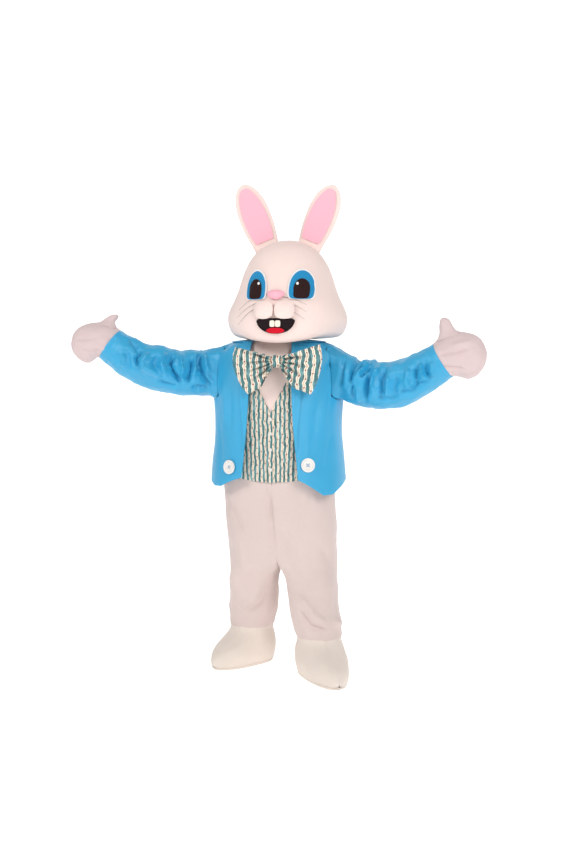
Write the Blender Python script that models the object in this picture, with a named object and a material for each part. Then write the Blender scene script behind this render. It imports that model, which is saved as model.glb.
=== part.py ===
"""Rabbit mascot costume, worn and left empty: head, suit, jacket, waistcoat, bow tie, mitts and boots.

Every garment is one surface of points, cut into the pieces that a maker would cut. Each piece then gets
its wall, so that neighbours lie a seam's width apart. Heights are above the soles until the last step,
which hangs everything on an empty at the place where the wearer holds the costume up.
The wearer faces -Y, and the wearer's left is +X.
"""

import math
from types import SimpleNamespace

import bpy
from mathutils import Matrix, Vector
from mathutils.bvhtree import BVHTree
from mathutils.interpolate import poly_3d_calc

# Driving dimensions in metres
HOLD_HEIGHT = 1.30
SEAM = 0.0003
REST_GAP = 0.0008
PROBES = 12
PLUSH_WALL = 0.003
JACKET_WALL = 0.0025
VEST_WALL = 0.002
TRIM_WALL = 0.0025
HEAD_WALL = 0.009
SOLE_THICKNESS = 0.012
HEAD_CENTER = Vector((0.041, -0.010, -0.012))
NECK_RADIUS = 0.1285
NECK_FLARE = 0.0007
HEAD_OPENING_RADIUS = 0.1300
HEAD_RIM_HEIGHT = 1.344
JACKET_BUTTON_RADIUS = 0.0275
VEST_BUTTON_RADIUS = 0.0075
SLEEVE_CUFF_LENGTH = 0.030
HEM_HEIGHT = 0.132
SOLE_LEVEL = -0.025
BOOT_SHAFT_HEIGHT = 0.1665

# Finishes: colour, roughness and metallic value of each material
FINISHES = {
    "plush": ((0.90, 0.84, 0.80), 0.95, 0.0),
    "trouser_plush": ((0.86, 0.77, 0.74), 0.95, 0.0),
    "boot_plush": ((0.84, 0.78, 0.71), 0.95, 0.0),
    "mitt_plush": ((0.95, 0.84, 0.83), 0.95, 0.0),
    "jacket_satin": ((0.06, 0.32, 0.72), 0.50, 0.0),
    "striped_satin": ((0.60, 0.66, 0.60), 0.50, 0.0),
    "pink_felt": ((0.95, 0.55, 0.62), 0.90, 0.0),
    "white_felt": ((0.92, 0.92, 0.90), 0.90, 0.0),
    "blue_felt": ((0.05, 0.33, 0.62), 0.90, 0.0),
    "dark_mesh": ((0.05, 0.02, 0.02), 0.80, 0.0),
    "red_felt": ((0.75, 0.03, 0.06), 0.90, 0.0),
    "tooth_felt": ((0.93, 0.85, 0.72), 0.85, 0.0),
    "button_plastic": ((0.92, 0.93, 0.92), 0.35, 0.0),
}


class Table:
    """A short table with named columns, read smoothly between its rows by its first column."""

    def __init__(self, columns, *rows):
        self.columns = columns.split()
        self.rows = rows

    def at(self, key):
        rows = self.rows
        last = len(rows) - 1
        spot = 0
        while spot < last - 1 and key > rows[spot + 1][0]:
            spot += 1
        start, end = rows[spot], rows[spot + 1]
        before, after = rows[max(spot - 1, 0)], rows[min(spot + 2, last)]
        span = end[0] - start[0]
        share = min(max((key - start[0]) / span, 0.0), 1.0)
        values = {}
        for column, name in enumerate(self.columns):
            start_slope = (end[column] - before[column]) / (end[0] - before[0])
            end_slope = (after[column] - start[column]) / (after[0] - start[0])
            values[name] = (
                (2 * share**3 - 3 * share**2 + 1) * start[column]
                + (share**3 - 2 * share**2 + share) * span * start_slope
                + (3 * share**2 - 2 * share**3) * end[column]
                + (share**3 - share**2) * span * end_slope
            )
        return SimpleNamespace(**values)


def mix(start, end, share):
    return start + (end - start) * share


def ease(share):
    share = min(max(share, 0.0), 1.0)
    return share * share * (3 - 2 * share)


def section(half_width, front, back, angle, square):
    """A point of a level section. Angle 0 is the front, and a quarter turn is the wearer's left."""
    side, ahead = math.sin(angle), math.cos(angle)
    power = 2.0 / square
    depth = front if ahead > 0 else back
    across = half_width * math.copysign(abs(side) ** power, side)
    return Vector((across, -depth * math.copysign(abs(ahead) ** power, ahead), 0.0))


def turned(point, angle):
    return Matrix.Rotation(angle, 3, "Z") @ point


def fold_height(folds, along, around):
    """How far the folds lift a point, given its distance along and around the tube in metres."""
    height = 0.0
    for place, side, length, width, depth, slant in folds:
        run, turn = along - place, around - side
        across = run * math.cos(slant) + turn * math.sin(slant)
        down = turn * math.cos(slant) - run * math.sin(slant)
        height += depth * math.exp(-((across / width) ** 2) - (down / length) ** 2)
    return height


class Cloth:
    """One garment's surface: its points, and its faces with the name of the piece each is cut from."""

    def __init__(self, wall):
        self.wall = wall
        self.points = []
        self.faces = []
        self.directions = {}

    def add(self, point):
        self.points.append(Vector(point))
        return len(self.points) - 1

    def row(self, points):
        return [self.add(point) for point in points]

    def quad(self, a, b, c, d, piece):
        self.faces.append(((a, b, c), piece))
        self.faces.append(((a, c, d), piece))

    def join(self, lower, upper, piece, closed=False):
        """Faces between two rows. The piece is a name, or gives one for each column."""
        count = len(lower)
        for column in range(count if closed else count - 1):
            after = (column + 1) % count
            name = piece(column) if callable(piece) else piece
            if name:
                self.quad(lower[column], lower[after], upper[after], upper[column], name)

    def close(self, ring, tip, piece):
        for column, corner in enumerate(ring):
            name = piece(column) if callable(piece) else piece
            self.faces.append(((corner, ring[(column + 1) % len(ring)], tip), name))

    def normals(self):
        sums = [Vector((0.0, 0.0, 0.0)) for _ in self.points]
        for corners, _ in self.faces:
            a, b, c = (self.points[index] for index in corners)
            face_normal = (b - a).cross(c - a)
            for index in corners:
                sums[index] += face_normal
        return [total.normalized() for total in sums]

    def meets(self, origin, direction):
        """Where a ray meets the surface, and the smooth normal there."""
        tree = BVHTree.FromPolygons(self.points, [corners for corners, _ in self.faces])
        place, _, face, _ = tree.ray_cast(Vector(origin), Vector(direction))
        corners = self.faces[face][0]
        shares = poly_3d_calc([self.points[index] for index in corners], place)
        normals = self.normals()
        normal = sum((normals[index] * share for index, share in zip(corners, shares)), Vector())
        return place, normal.normalized()

    def seam_shifts(self, edges, owner, normals):
        """How far each edge point of a piece moves into the piece, to leave its half of the seam."""
        sides = {}
        for a, b in edges:
            half = SEAM / 2 if (b, a) in owner else 0.0
            along = self.points[b] - self.points[a]
            for index in (a, b):
                inward = normals[index].cross(along).normalized()
                sides.setdefault(index, []).append((inward, half))
        shifts = {}
        for index, pair in sides.items():
            (first, first_half), (second, second_half) = pair[0], pair[-1]
            lean = first.dot(second)
            if lean > 0.9:
                shifts[index] = (first + second) / (1 + lean) * max(first_half, second_half)
                continue
            spread = max(1 - lean * lean, 0.2)
            first_share = (first_half - lean * second_half) / spread
            second_share = (second_half - lean * first_half) / spread
            shifts[index] = first * first_share + second * second_share
        return shifts

    def sew(self, looks):
        """Cuts the surface into its pieces and makes each a closed wall. Looks names their finishes."""
        normals = self.normals()
        owner = {}
        for corners, piece in self.faces:
            for a, b in zip(corners, corners[1:] + corners[:1]):
                owner[a, b] = piece
        for piece, finish in looks.items():
            triangles = [corners for corners, name in self.faces if name == piece]
            edges = []
            for corners in triangles:
                for a, b in zip(corners, corners[1:] + corners[:1]):
                    if owner.get((b, a)) != piece:
                        edges.append((a, b))
            shifts = self.seam_shifts(edges, owner, normals)
            places = {}
            vertices = []
            for corners in triangles:
                for index in corners:
                    if index not in places:
                        places[index] = len(vertices)
                        outer = self.points[index] + shifts.get(index, Vector())
                        inward = self.directions.get(index, -normals[index])
                        vertices += [outer, outer + inward * self.wall]
            faces = []
            for corners in triangles:
                a, b, c = (places[index] for index in corners)
                faces += [(a, b, c), (c + 1, b + 1, a + 1)]
            for first, second in edges:
                a, b = places[first], places[second]
                if first < second:
                    faces += [(b, a, a + 1), (b, a + 1, b + 1)]
                else:
                    faces += [(b, a, b + 1), (a, a + 1, b + 1)]
            solid(piece, finish, vertices, faces)


def finish_material(finish):
    material = bpy.data.materials.get(finish)
    if material is None:
        color, roughness, metallic = FINISHES[finish]
        material = bpy.data.materials.new(finish)
        material.use_nodes = True
        shader = material.node_tree.nodes["Principled BSDF"]
        shader.inputs["Base Color"].default_value = (*color, 1.0)
        shader.inputs["Roughness"].default_value = roughness
        shader.inputs["Metallic"].default_value = metallic
    return material


def solid(name, finish, vertices, faces):
    """A named piece from its points and faces, hung on the empty that holds the costume."""
    mesh = bpy.data.meshes.new(name)
    mesh.from_pydata([tuple(vertex) for vertex in vertices], [], faces)
    mesh.validate()
    mesh.materials.append(finish_material(finish))
    mesh.shade_smooth()
    mesh.set_sharp_from_angle(angle=math.radians(40))
    piece = bpy.data.objects.new(name, mesh)
    piece.parent = holder
    bpy.context.collection.objects.link(piece)


def tube_axes(direction):
    """The level and the upright axis across a tube that runs along a direction."""
    direction = direction.normalized()
    upright = (Vector((0, 0, 1)) - direction * direction.z).normalized()
    return upright.cross(direction), upright


def tube_ring(center, direction, wide, tall, angles):
    across, upright = tube_axes(direction)
    return [center + across * wide * math.cos(t) + upright * tall * math.sin(t) for t in angles]


def loop_angles(points, center, direction, wide, tall):
    """The angles of a hole's edge points about a tube's axis, each more than the one before."""
    across, upright = tube_axes(direction)
    angles = []
    for point in points:
        arm = point - center
        angle = math.atan2(arm.dot(upright) / tall, arm.dot(across) / wide)
        while angles and angle < angles[-1]:
            angle += 2 * math.pi
        angles.append(angle)
    return angles


def block_edge(rows, bottom, top, start, end):
    """The points round a block of a grid, in order, seen from outside."""
    edge = [rows[bottom][column] for column in range(start, end)]
    edge += [rows[row][end] for row in range(bottom, top)]
    edge += [rows[top][column] for column in range(end, start, -1)]
    edge += [rows[row][start] for row in range(top, bottom, -1)]
    return edge


def evened(angles, share):
    """Angles moved towards an even spread, by a share."""
    count = len(angles)
    offset = sum(angles) / count - math.pi * (count - 1) / count
    return [mix(angle, offset + 2 * math.pi * spot / count, share) for spot, angle in enumerate(angles)]


def raised_until_clear(points, normals, faces, below, lift=REST_GAP):
    """Moves a piece out along its normals, a little at a time, until it clears what it lies on."""
    while True:
        moved = [point + normal * lift for point, normal in zip(points, normals)]
        tree = BVHTree.FromPolygons(moved, faces)
        if not any(tree.overlap(other) for other in below):
            clear = [point + normal * (lift + SEAM) for point, normal in zip(points, normals)]
            return clear, BVHTree.FromPolygons(clear, faces)
        lift += SEAM


def disc(name, finish, base, outline, below, thick, steps=12, shares=(1.0, 0.6), crown=0.0, lift=REST_GAP):
    """A patch that lies on a surface. Base gives a place and a normal for a point of the flat outline."""
    points = []
    normals = []
    for share in shares:
        for step in range(steps):
            across, up = outline(2 * math.pi * step / steps)
            place, normal = base(across * share, up * share)
            points += [place, place + normal * (thick + crown * (1 - share**2))]
            normals += [normal, normal]
    center = len(points)
    place, normal = base(0.0, 0.0)
    points += [place, place + normal * (thick + crown)]
    normals += [normal, normal]
    faces = []
    for step in range(steps):
        after = (step + 1) % steps
        for level in range(len(shares) - 1):
            a, b = 2 * (level * steps + step), 2 * (level * steps + after)
            c, d = 2 * ((level + 1) * steps + after), 2 * ((level + 1) * steps + step)
            faces += [(a + 1, b + 1, c + 1), (a + 1, c + 1, d + 1), (c, b, a), (d, c, a)]
        inner = 2 * (len(shares) - 1) * steps
        a, b = inner + 2 * step, inner + 2 * after
        faces += [(a + 1, b + 1, center + 1), (b, a, center)]
        a, b = 2 * step, 2 * after
        faces += [(b, b + 1, a + 1), (b, a + 1, a)]
    vertices, tree = raised_until_clear(points, normals, faces, below, lift)
    solid(name, finish, vertices, faces)
    return tree


def button(name, finish, cloth, origin, direction, radius, profile, steps):
    """A turned button that lies on a cloth, clear of every point of it under the rim."""
    place, normal = cloth.meets(origin, direction)
    across = normal.cross(Vector((0, 0, 1))).normalized()
    up = across.cross(normal)
    highest = 0.0
    for step in range(PROBES):
        t = 2 * math.pi * step / PROBES
        for share in (0.5, 1.0):
            arm = (across * math.cos(t) + up * math.sin(t)) * radius * share
            spot, _ = cloth.meets(place + arm + normal * 0.05, -normal)
            highest = max(highest, (spot - place).dot(normal))
    base = place + normal * (highest + SEAM)
    vertices = []
    for share, height in profile:
        for step in range(steps):
            t = 2 * math.pi * step / steps
            arm = (across * math.cos(t) - up * math.sin(t)) * radius * share
            vertices.append(base + arm + normal * height)
    faces = []
    levels = len(profile)
    for level in range(levels - 1):
        for step in range(steps):
            after = (step + 1) % steps
            a, b = level * steps + step, level * steps + after
            c, d = b + steps, a + steps
            faces += [(a, b, c), (a, c, d)]
    bottom, top = len(vertices), len(vertices) + 1
    vertices += [base + normal * profile[0][1], base + normal * profile[-1][1]]
    for step in range(steps):
        after = (step + 1) % steps
        faces.append((after, step, bottom))
        last = (levels - 1) * steps
        faces.append((last + step, last + after, top))
    flipped = [tuple(reversed(face)) for face in faces]
    solid(name, finish, vertices, flipped if across.cross(up).dot(normal) > 0 else faces)


# Body suit: one row for each level of the torso
TORSO = Table(
    "level height half_width front back square",
    (0, 0.700, 0.234, 0.158, 0.168, 2.2),
    (1, 0.780, 0.236, 0.160, 0.168, 2.2),
    (2, 0.860, 0.238, 0.163, 0.168, 2.3),
    (3, 0.940, 0.240, 0.166, 0.168, 2.4),
    (4, 1.020, 0.243, 0.168, 0.168, 2.4),
    (5, 1.100, 0.245, 0.168, 0.167, 2.4),
    (6, 1.170, 0.246, 0.165, 0.165, 2.4),
    (7, 1.230, 0.244, 0.159, 0.162, 2.3),
    (8, 1.275, 0.238, 0.152, 0.157, 2.2),
    (9, 1.303, 0.222, 0.146, 0.150, 2.1),
    (10, 1.320, 0.192, 0.140, 0.143, 2.0),
    (11, 1.330, 0.158, 0.134, 0.136, 2.0),
    (12, 1.336, NECK_RADIUS, NECK_RADIUS, NECK_RADIUS, 2.0),
)
SUIT_LEVELS = (1.25, 2.8, 4.0, 5.0, 6.3, 7.7, 9.0, 10.0, 11.0, 12.0)
ARMHOLE_BOTTOM, ARMHOLE_TOP = 5.0, 9.0
QUARTER_COLUMNS = 7
ARMHOLE_HALF_COLUMNS = 3
ARMHOLE_HALF_ANGLE = math.radians(30)


def torso_point(level, angle):
    row = TORSO.at(level)
    point = section(row.half_width, row.front, row.back, angle, row.square)
    point.z = row.height
    return point


def torso_normal(level, angle):
    """The direction out of the torso, from the slopes around and up it."""
    around = torso_point(level, angle + 0.02) - torso_point(level, angle - 0.02)
    below, above = max(level - 0.05, 0.0), min(level + 0.05, 12.0)
    upward = torso_point(above, angle) - torso_point(below, angle)
    return around.cross(upward).normalized()


def quarter_angles():
    """Column angles from the front centre to the side, closer together round the armhole."""
    body_columns = QUARTER_COLUMNS - ARMHOLE_HALF_COLUMNS
    start_of_armhole = math.pi / 2 - ARMHOLE_HALF_ANGLE
    angles = [start_of_armhole * column / body_columns for column in range(body_columns)]
    for column in range(ARMHOLE_HALF_COLUMNS + 1):
        angles.append(start_of_armhole + ARMHOLE_HALF_ANGLE * column / ARMHOLE_HALF_COLUMNS)
    return angles


def round_angles():
    """Column angles all round, from the front centre by the wearer's left."""
    quarter = quarter_angles()
    half = quarter + [math.pi - angle for angle in reversed(quarter[:-1])]
    return half + [2 * math.pi - angle for angle in reversed(half[1:-1])]


LEG_ROWS = (0.385, 0.343, 0.295, 0.245, 0.200, 0.167, HEM_HEIGHT)
TROUSER_ROWS = (0.735, 0.660, 0.580, 0.500, 0.42)
HIP = Table(
    "height half_width front back center_x square",
    (0.420, 0.230, 0.138, 0.148, 0.020, 2.5),
    (0.500, 0.227, 0.144, 0.156, 0.016, 2.5),
    (0.600, 0.228, 0.152, 0.166, 0.013, 2.4),
    (0.735, 0.233, 0.157, 0.168, 0.002, 2.2),
    (0.800, 0.236, 0.160, 0.168, 0.000, 2.2),
)
LEGS = {
    1: Table(
        "height center_x center_y half_width front back square",
        (0.132, 0.184, -0.075, 0.097, 0.094, 0.090, 2.0),
        (0.167, 0.178, -0.074, 0.098, 0.098, 0.094, 2.0),
        (0.200, 0.170, -0.068, 0.103, 0.110, 0.104, 2.1),
        (0.245, 0.159, -0.056, 0.104, 0.113, 0.110, 2.2),
        (0.345, 0.143, -0.026, 0.102, 0.116, 0.122, 2.8),
        (0.385, 0.136, -0.008, 0.105, 0.124, 0.134, 3.4),
        (0.420, 0.130, 0.000, 0.110, 0.134, 0.146, 4.5),
    ),
    -1: Table(
        "height center_x center_y half_width front back square",
        (0.132, -0.128, 0.062, 0.097, 0.092, 0.090, 2.0),
        (0.167, -0.124, 0.060, 0.100, 0.096, 0.094, 2.0),
        (0.200, -0.119, 0.054, 0.108, 0.106, 0.103, 2.1),
        (0.245, -0.113, 0.045, 0.102, 0.108, 0.106, 2.2),
        (0.345, -0.104, 0.020, 0.100, 0.113, 0.118, 2.8),
        (0.385, -0.099, 0.006, 0.103, 0.122, 0.132, 3.4),
        (0.420, -0.094, 0.000, 0.108, 0.134, 0.146, 4.5),
    ),
}
OUTER_COLUMNS = 14
INNER_COLUMNS = 4
INNER_HALF_ANGLE = math.radians(36)
FINE_STEPS = 180
CROTCH_DIP = 0.012
TROUSER_COLUMN_WIDTH = 0.036
TROUSER_FOLDS = {
    1: (
        (0.23, 0.06, 0.10, 0.040, 0.009, 0.35),
        (0.33, 0.15, 0.11, 0.044, 0.011, -0.40),
        (0.45, 0.08, 0.11, 0.044, 0.008, 0.45),
        (0.58, 0.17, 0.12, 0.046, 0.008, 0.30),
        (0.30, 0.36, 0.12, 0.046, 0.009, 0.35),
        (0.50, 0.38, 0.12, 0.048, 0.007, -0.35),
    ),
    -1: (
        (0.25, 0.08, 0.10, 0.040, 0.008, -0.30),
        (0.36, 0.14, 0.11, 0.044, 0.011, 0.45),
        (0.48, 0.07, 0.11, 0.044, 0.008, -0.50),
        (0.61, 0.16, 0.12, 0.046, 0.007, -0.25),
        (0.32, 0.37, 0.12, 0.046, 0.009, -0.30),
        (0.52, 0.36, 0.12, 0.048, 0.007, 0.30),
    ),
}


def lengths_along(points):
    """The distance from the first point to each point of a line."""
    lengths = [0.0]
    for before, after in zip(points, points[1:]):
        lengths.append(lengths[-1] + (after - before).length)
    return lengths


def place_along(points, lengths, distance):
    """The point of a line at a distance from its start."""
    spot = 0
    while spot < len(points) - 2 and lengths[spot + 1] < distance:
        spot += 1
    share = (distance - lengths[spot]) / (lengths[spot + 1] - lengths[spot])
    return points[spot].lerp(points[spot + 1], share)


def evenly_round(row, start, end, columns):
    """Points at even distances along part of a level section, without the last."""
    fine = [section(row.half_width, row.front, row.back, mix(start, end, step / FINE_STEPS), row.square)
            for step in range(FINE_STEPS + 1)]
    lengths = lengths_along(fine)
    return [place_along(fine, lengths, lengths[-1] * column / columns) for column in range(columns)]


def leg_ring(side, height):
    """The outside of one trouser leg, with its folds, front centre first and outside next."""
    row = LEGS[side].at(height)
    start = INNER_HALF_ANGLE - math.pi / 2
    end = 3 * math.pi / 2 - INNER_HALF_ANGLE
    offsets = evenly_round(row, start, end, OUTER_COLUMNS)
    offsets += evenly_round(row, end, start + 2 * math.pi, INNER_COLUMNS)
    points = []
    for column, offset in enumerate(offsets):
        lift = fold_height(TROUSER_FOLDS[side], height, column * TROUSER_COLUMN_WIDTH)
        lift *= ease((height - 0.175) / 0.06) * ease(column / 3) * ease((OUTER_COLUMNS - column) / 3)
        offset += offset.normalized() * lift
        points.append(Vector((row.center_x + side * offset.x, row.center_y + offset.y, height)))
    return points


def hip_ring(angles, height):
    """The outside of the trousers above the crotch, whose columns spread evenly lower down."""
    row = HIP.at(height)
    half = len(angles) // 2
    fine = [section(row.half_width, row.front, row.back, math.pi * step / FINE_STEPS, row.square)
            for step in range(FINE_STEPS + 1)]
    lengths = lengths_along(fine)
    spread = ease((TROUSER_ROWS[0] - height) / (TROUSER_ROWS[0] - TROUSER_ROWS[-1]))
    points = []
    for column in range(len(angles)):
        side = 1 if column <= half else -1
        own = column if side == 1 else len(angles) - column
        at_angle = lengths[round(angles[own] / math.pi * FINE_STEPS)]
        offset = place_along(fine, lengths, mix(at_angle, lengths[-1] * own / half, spread))
        lift = fold_height(TROUSER_FOLDS[side], height, own * TROUSER_COLUMN_WIDTH)
        lift *= ease((0.70 - height) / 0.1) * ease(own / 3) * ease((half - own) / 3)
        offset += offset.normalized() * lift
        points.append(Vector((row.center_x + side * offset.x, offset.y, height)))
    return points


def build_suit():
    """Body suit and trousers: one plush surface from the neck to the hems."""
    cloth = Cloth(PLUSH_WALL)
    angles = round_angles()
    count = len(angles)
    half = count // 2
    rows = []
    for level in SUIT_LEVELS:
        rows.append(cloth.row([torso_point(level, angle) for angle in angles]))
    bottom, top = SUIT_LEVELS.index(ARMHOLE_BOTTOM), SUIT_LEVELS.index(ARMHOLE_TOP)
    quarter = QUARTER_COLUMNS
    armholes = set()
    for column in range(-ARMHOLE_HALF_COLUMNS, ARMHOLE_HALF_COLUMNS):
        armholes |= {quarter + column, count - quarter + column}

    def body_piece(row):
        def name(column):
            if bottom <= row < top and column in armholes:
                return None
            return "suit_front" if column < quarter or column >= count - quarter else "suit_back"
        return name

    for row in range(len(rows) - 1):
        cloth.join(rows[row], rows[row + 1], body_piece(row), closed=True)
    lower = rows[-1]
    radius = NECK_RADIUS + NECK_FLARE
    for height in (1.346, 1.358):
        ring = cloth.row([section(radius, radius, radius, angle, 2.0) + Vector((0, 0, height))
                          for angle in angles])
        cloth.join(lower, ring, "neck", closed=True)
        lower = ring

    def half_piece(column):
        side = "left" if column < half else "right"
        face = "front" if column < quarter or column >= count - quarter else "back"
        return f"trouser_{side}_{face}"

    upper = rows[0]
    for height in TROUSER_ROWS:
        ring = cloth.row(hip_ring(angles, height))
        cloth.join(ring, upper, half_piece, closed=True)
        upper = ring

    front, back = cloth.points[upper[0]], cloth.points[upper[half]]
    crotch = []
    for step in range(1, INNER_COLUMNS):
        share = step / INNER_COLUMNS
        dip = -CROTCH_DIP * math.sin(math.pi * share)
        crotch.append(cloth.add(back.lerp(front, share) + Vector((0, 0, dip))))
    for side, name in ((1, "left"), (-1, "right")):
        outer = upper[:half + 1] if side == 1 else [upper[0]] + upper[:half - 1:-1]
        last = outer + crotch
        middle = OUTER_COLUMNS // 2

        def leg_piece(column, name=name, middle=middle):
            if column < middle or column >= OUTER_COLUMNS + INNER_COLUMNS // 2:
                return f"trouser_{name}_front"
            return f"trouser_{name}_back"

        for height in LEG_ROWS:
            ring = cloth.row(leg_ring(side, height))
            if height <= LEG_ROWS[-2]:
                row = LEGS[side].at(height)
                for index in ring:
                    inward = Vector((row.center_x, row.center_y, height)) - cloth.points[index]
                    cloth.directions[index] = inward.normalized()
            if side == 1:
                cloth.join(ring, last, leg_piece, closed=True)
            else:
                mirrored = [ring[0]] + ring[:0:-1]
                mirrored_last = [last[0]] + last[:0:-1]
                total = len(ring)
                cloth.join(mirrored, mirrored_last,
                           lambda column, total=total: leg_piece(total - 1 - column), closed=True)
            last = ring
    looks = {"suit_front": "plush", "suit_back": "plush", "neck": "plush"}
    for side in ("left", "right"):
        for face in ("front", "back"):
            looks[f"trouser_{side}_{face}"] = "trouser_plush"
    cloth.sew(looks)
    return cloth


# Boots: each row is a level section about the ankle, in the direction of the toe
BOOT = Table(
    "height toe heel half_width",
    (SOLE_LEVEL + SOLE_THICKNESS + SEAM, 0.238, 0.098, 0.092),
    (0.010, 0.242, 0.104, 0.098),
    (0.040, 0.230, 0.106, 0.102),
    (0.068, 0.194, 0.104, 0.101),
    (0.093, 0.136, 0.100, 0.097),
    (0.116, 0.098, 0.092, 0.090),
)
TOE_COLUMNS = {1: 4, -1: 4}
TOE_TURNS = {1: math.radians(28), -1: math.radians(33)}
TOE_REACH = {1: 1.0, -1: 0.95}


def hem_angles(side):
    """The angle about the ankle of each point of the trouser hem, from the front by the outside."""
    ankle = LEGS[side].at(HEM_HEIGHT)
    angles = []
    for point in leg_ring(side, HEM_HEIGHT):
        angles.append(math.atan2(side * (point.x - ankle.center_x), -(point.y - ankle.center_y)))
    return angles


def boot_point(side, height, column, angles):
    row = BOOT.at(height)
    ankle = LEGS[side].at(HEM_HEIGHT)
    turn = angles[column] - angles[TOE_COLUMNS[side]]
    depth = row.toe * TOE_REACH[side] if math.cos(turn) > 0 else row.heel
    foot = Vector((row.half_width * math.sin(turn), -depth * math.cos(turn), 0))
    toe_turn = TOE_TURNS[side]
    foot = turned(foot, toe_turn)
    return Vector((ankle.center_x + side * foot.x, ankle.center_y + foot.y, height))


def build_boot(side, name):
    """A boot cover: two halves with a seam over the toe, hung inside the trouser hem, and a flat sole."""
    cloth = Cloth(PLUSH_WALL)
    angles = hem_angles(side)
    count = len(angles)
    ankle = LEGS[side].at(HEM_HEIGHT)
    rows = []
    for height in (BOOT.rows[0][0], 0.008, 0.034, 0.062, 0.089, 0.114):
        rows.append([boot_point(side, height, column, angles) for column in range(count)])
    inset = PLUSH_WALL + SEAM * 1.4
    for height in (HEM_HEIGHT, BOOT_SHAFT_HEIGHT):
        row = LEGS[side].at(height)
        center = Vector((row.center_x, row.center_y, height))
        ring = []
        for point in leg_ring(side, height):
            ring.append(point + (center - point).normalized() * inset)
        rows.append(ring)
    rows = [cloth.row(points) for points in rows]
    for row in rows[-2:]:
        for index in row:
            point = cloth.points[index]
            center = Vector((ankle.center_x, ankle.center_y, point.z))
            cloth.directions[index] = (center - point).normalized()
    toe = TOE_COLUMNS[side]
    heel = (toe + count // 2) % count

    def half_piece(column):
        outer = toe <= column < toe + count // 2
        return f"boot_{name}_outer" if outer else f"boot_{name}_inner"

    for row in range(len(rows) - 1):
        if side == 1:
            cloth.join(rows[row], rows[row + 1], half_piece, closed=True)
        else:
            lower = [rows[row][0]] + rows[row][:0:-1]
            upper = [rows[row + 1][0]] + rows[row + 1][:0:-1]
            cloth.join(lower, upper, lambda column: half_piece(count - 1 - column), closed=True)
    for index in rows[0]:
        point = cloth.points[index]
        center = Vector((ankle.center_x, ankle.center_y, point.z))
        cloth.directions[index] = (center - point).normalized()
    cloth.sew({f"boot_{name}_outer": "boot_plush", f"boot_{name}_inner": "boot_plush"})
    outline = [cloth.points[index] for index in rows[0]]
    if side == -1:
        outline = [outline[0]] + outline[:0:-1]
    top = [Vector((point.x, point.y, SOLE_LEVEL + SOLE_THICKNESS)) for point in outline]
    floor = [Vector((point.x, point.y, SOLE_LEVEL)) for point in outline]
    middle = sum(floor, Vector()) / count
    vertices = floor + top + [middle, middle + Vector((0, 0, SOLE_THICKNESS))]
    faces = []
    for column in range(count):
        after = (column + 1) % count
        faces += [(column, after, count + after), (column, count + after, count + column)]
        faces += [(after, column, 2 * count), (count + column, count + after, 2 * count + 1)]
    solid(f"sole_{name}", "boot_plush", vertices, faces)


# Jacket: how far it stands out from the suit at each level
JACKET_EASE = Table(
    "level out",
    (0, 0.054), (1, 0.046), (2, 0.034), (3, 0.026), (4, 0.022), (5, 0.020), (6, 0.020),
    (7, 0.020), (8, 0.020), (9, 0.0185), (10, 0.0125), (11, 0.0060), (12, 0.0022),
)
JACKET_LEVELS = (1.75, 2.5, 3.3, 4.2, 5.0, 5.8, 6.6, 7.4, 8.2, 9.0, 10.0, 11.0, 11.6)
JACKET_HEM_LEVEL = 1.0
ARMHOLE_ROUNDING = 0.12
FRONT_EDGE = Table(
    "level edge lapel",
    (0.5, 0.128, 0.008), (2, 0.114, 0.008), (3, 0.104, 0.010), (4, 0.096, 0.024),
    (5, 0.091, 0.038), (7, 0.088, 0.046), (9, 0.086, 0.046), (11, 0.080, 0.040), (12, 0.078, 0.036),
)
HEMS = {
    1: Table("angle height", (20, 0.794), (33, 0.765), (52, 0.716), (72, 0.744), (95, 0.774), (180, 0.785)),
    -1: Table("angle height", (20, 0.794), (33, 0.780), (52, 0.745), (72, 0.758), (95, 0.778), (180, 0.785)),
}
JACKET_FOLDS = (
    (1.10, 0.36, 0.09, 0.030, 0.006, 0.50),
    (0.98, 0.44, 0.10, 0.034, -0.005, 0.35),
    (1.08, -0.36, 0.09, 0.030, 0.006, -0.50),
    (0.96, -0.42, 0.10, 0.034, -0.005, -0.40),
    (0.88, 0.30, 0.10, 0.036, 0.005, 0.20),
    (0.86, -0.30, 0.10, 0.036, 0.005, -0.25),
)


def level_of(height):
    """The torso level at a height, by halving."""
    low, high = 0.0, 12.0
    for _ in range(30):
        middle = (low + high) / 2
        if TORSO.at(middle).height < height:
            low = middle
        else:
            high = middle
    return (low + high) / 2


def edge_angle(level, distance):
    """The angle from the front centre at which the torso is a distance to the side."""
    row = TORSO.at(level)
    share = min(distance / (row.half_width + JACKET_EASE.at(level).out), 1.0)
    return math.asin(share ** (row.square / 2))


def jacket_point(level, angle):
    point = torso_point(level, angle) + torso_normal(level, angle) * JACKET_EASE.at(level).out
    signed = angle if angle < math.pi else angle - 2 * math.pi
    lift = fold_height(JACKET_FOLDS, point.z, signed * 0.23)
    return point + torso_normal(level, angle) * lift


def jacket_angles(level):
    """Column angles from the left front edge round the back to the right front edge."""
    edge = FRONT_EDGE.at(level)
    start_of_armhole = math.pi / 2 - ARMHOLE_HALF_ANGLE
    angles = [edge_angle(level, edge.edge), edge_angle(level, edge.edge + edge.lapel)]
    for column in (1, 2, 3):
        angles.append(mix(angles[1], start_of_armhole, column / 3))
    for column in range(1, 2 * ARMHOLE_HALF_COLUMNS + 1):
        angles.append(start_of_armhole + ARMHOLE_HALF_ANGLE * column / ARMHOLE_HALF_COLUMNS)
    back_start = angles[-1]
    for column in range(1, 5):
        angles.append(mix(back_start, math.pi, column / 4))
    return angles + [2 * math.pi - angle for angle in reversed(angles[:-1])]


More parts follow.
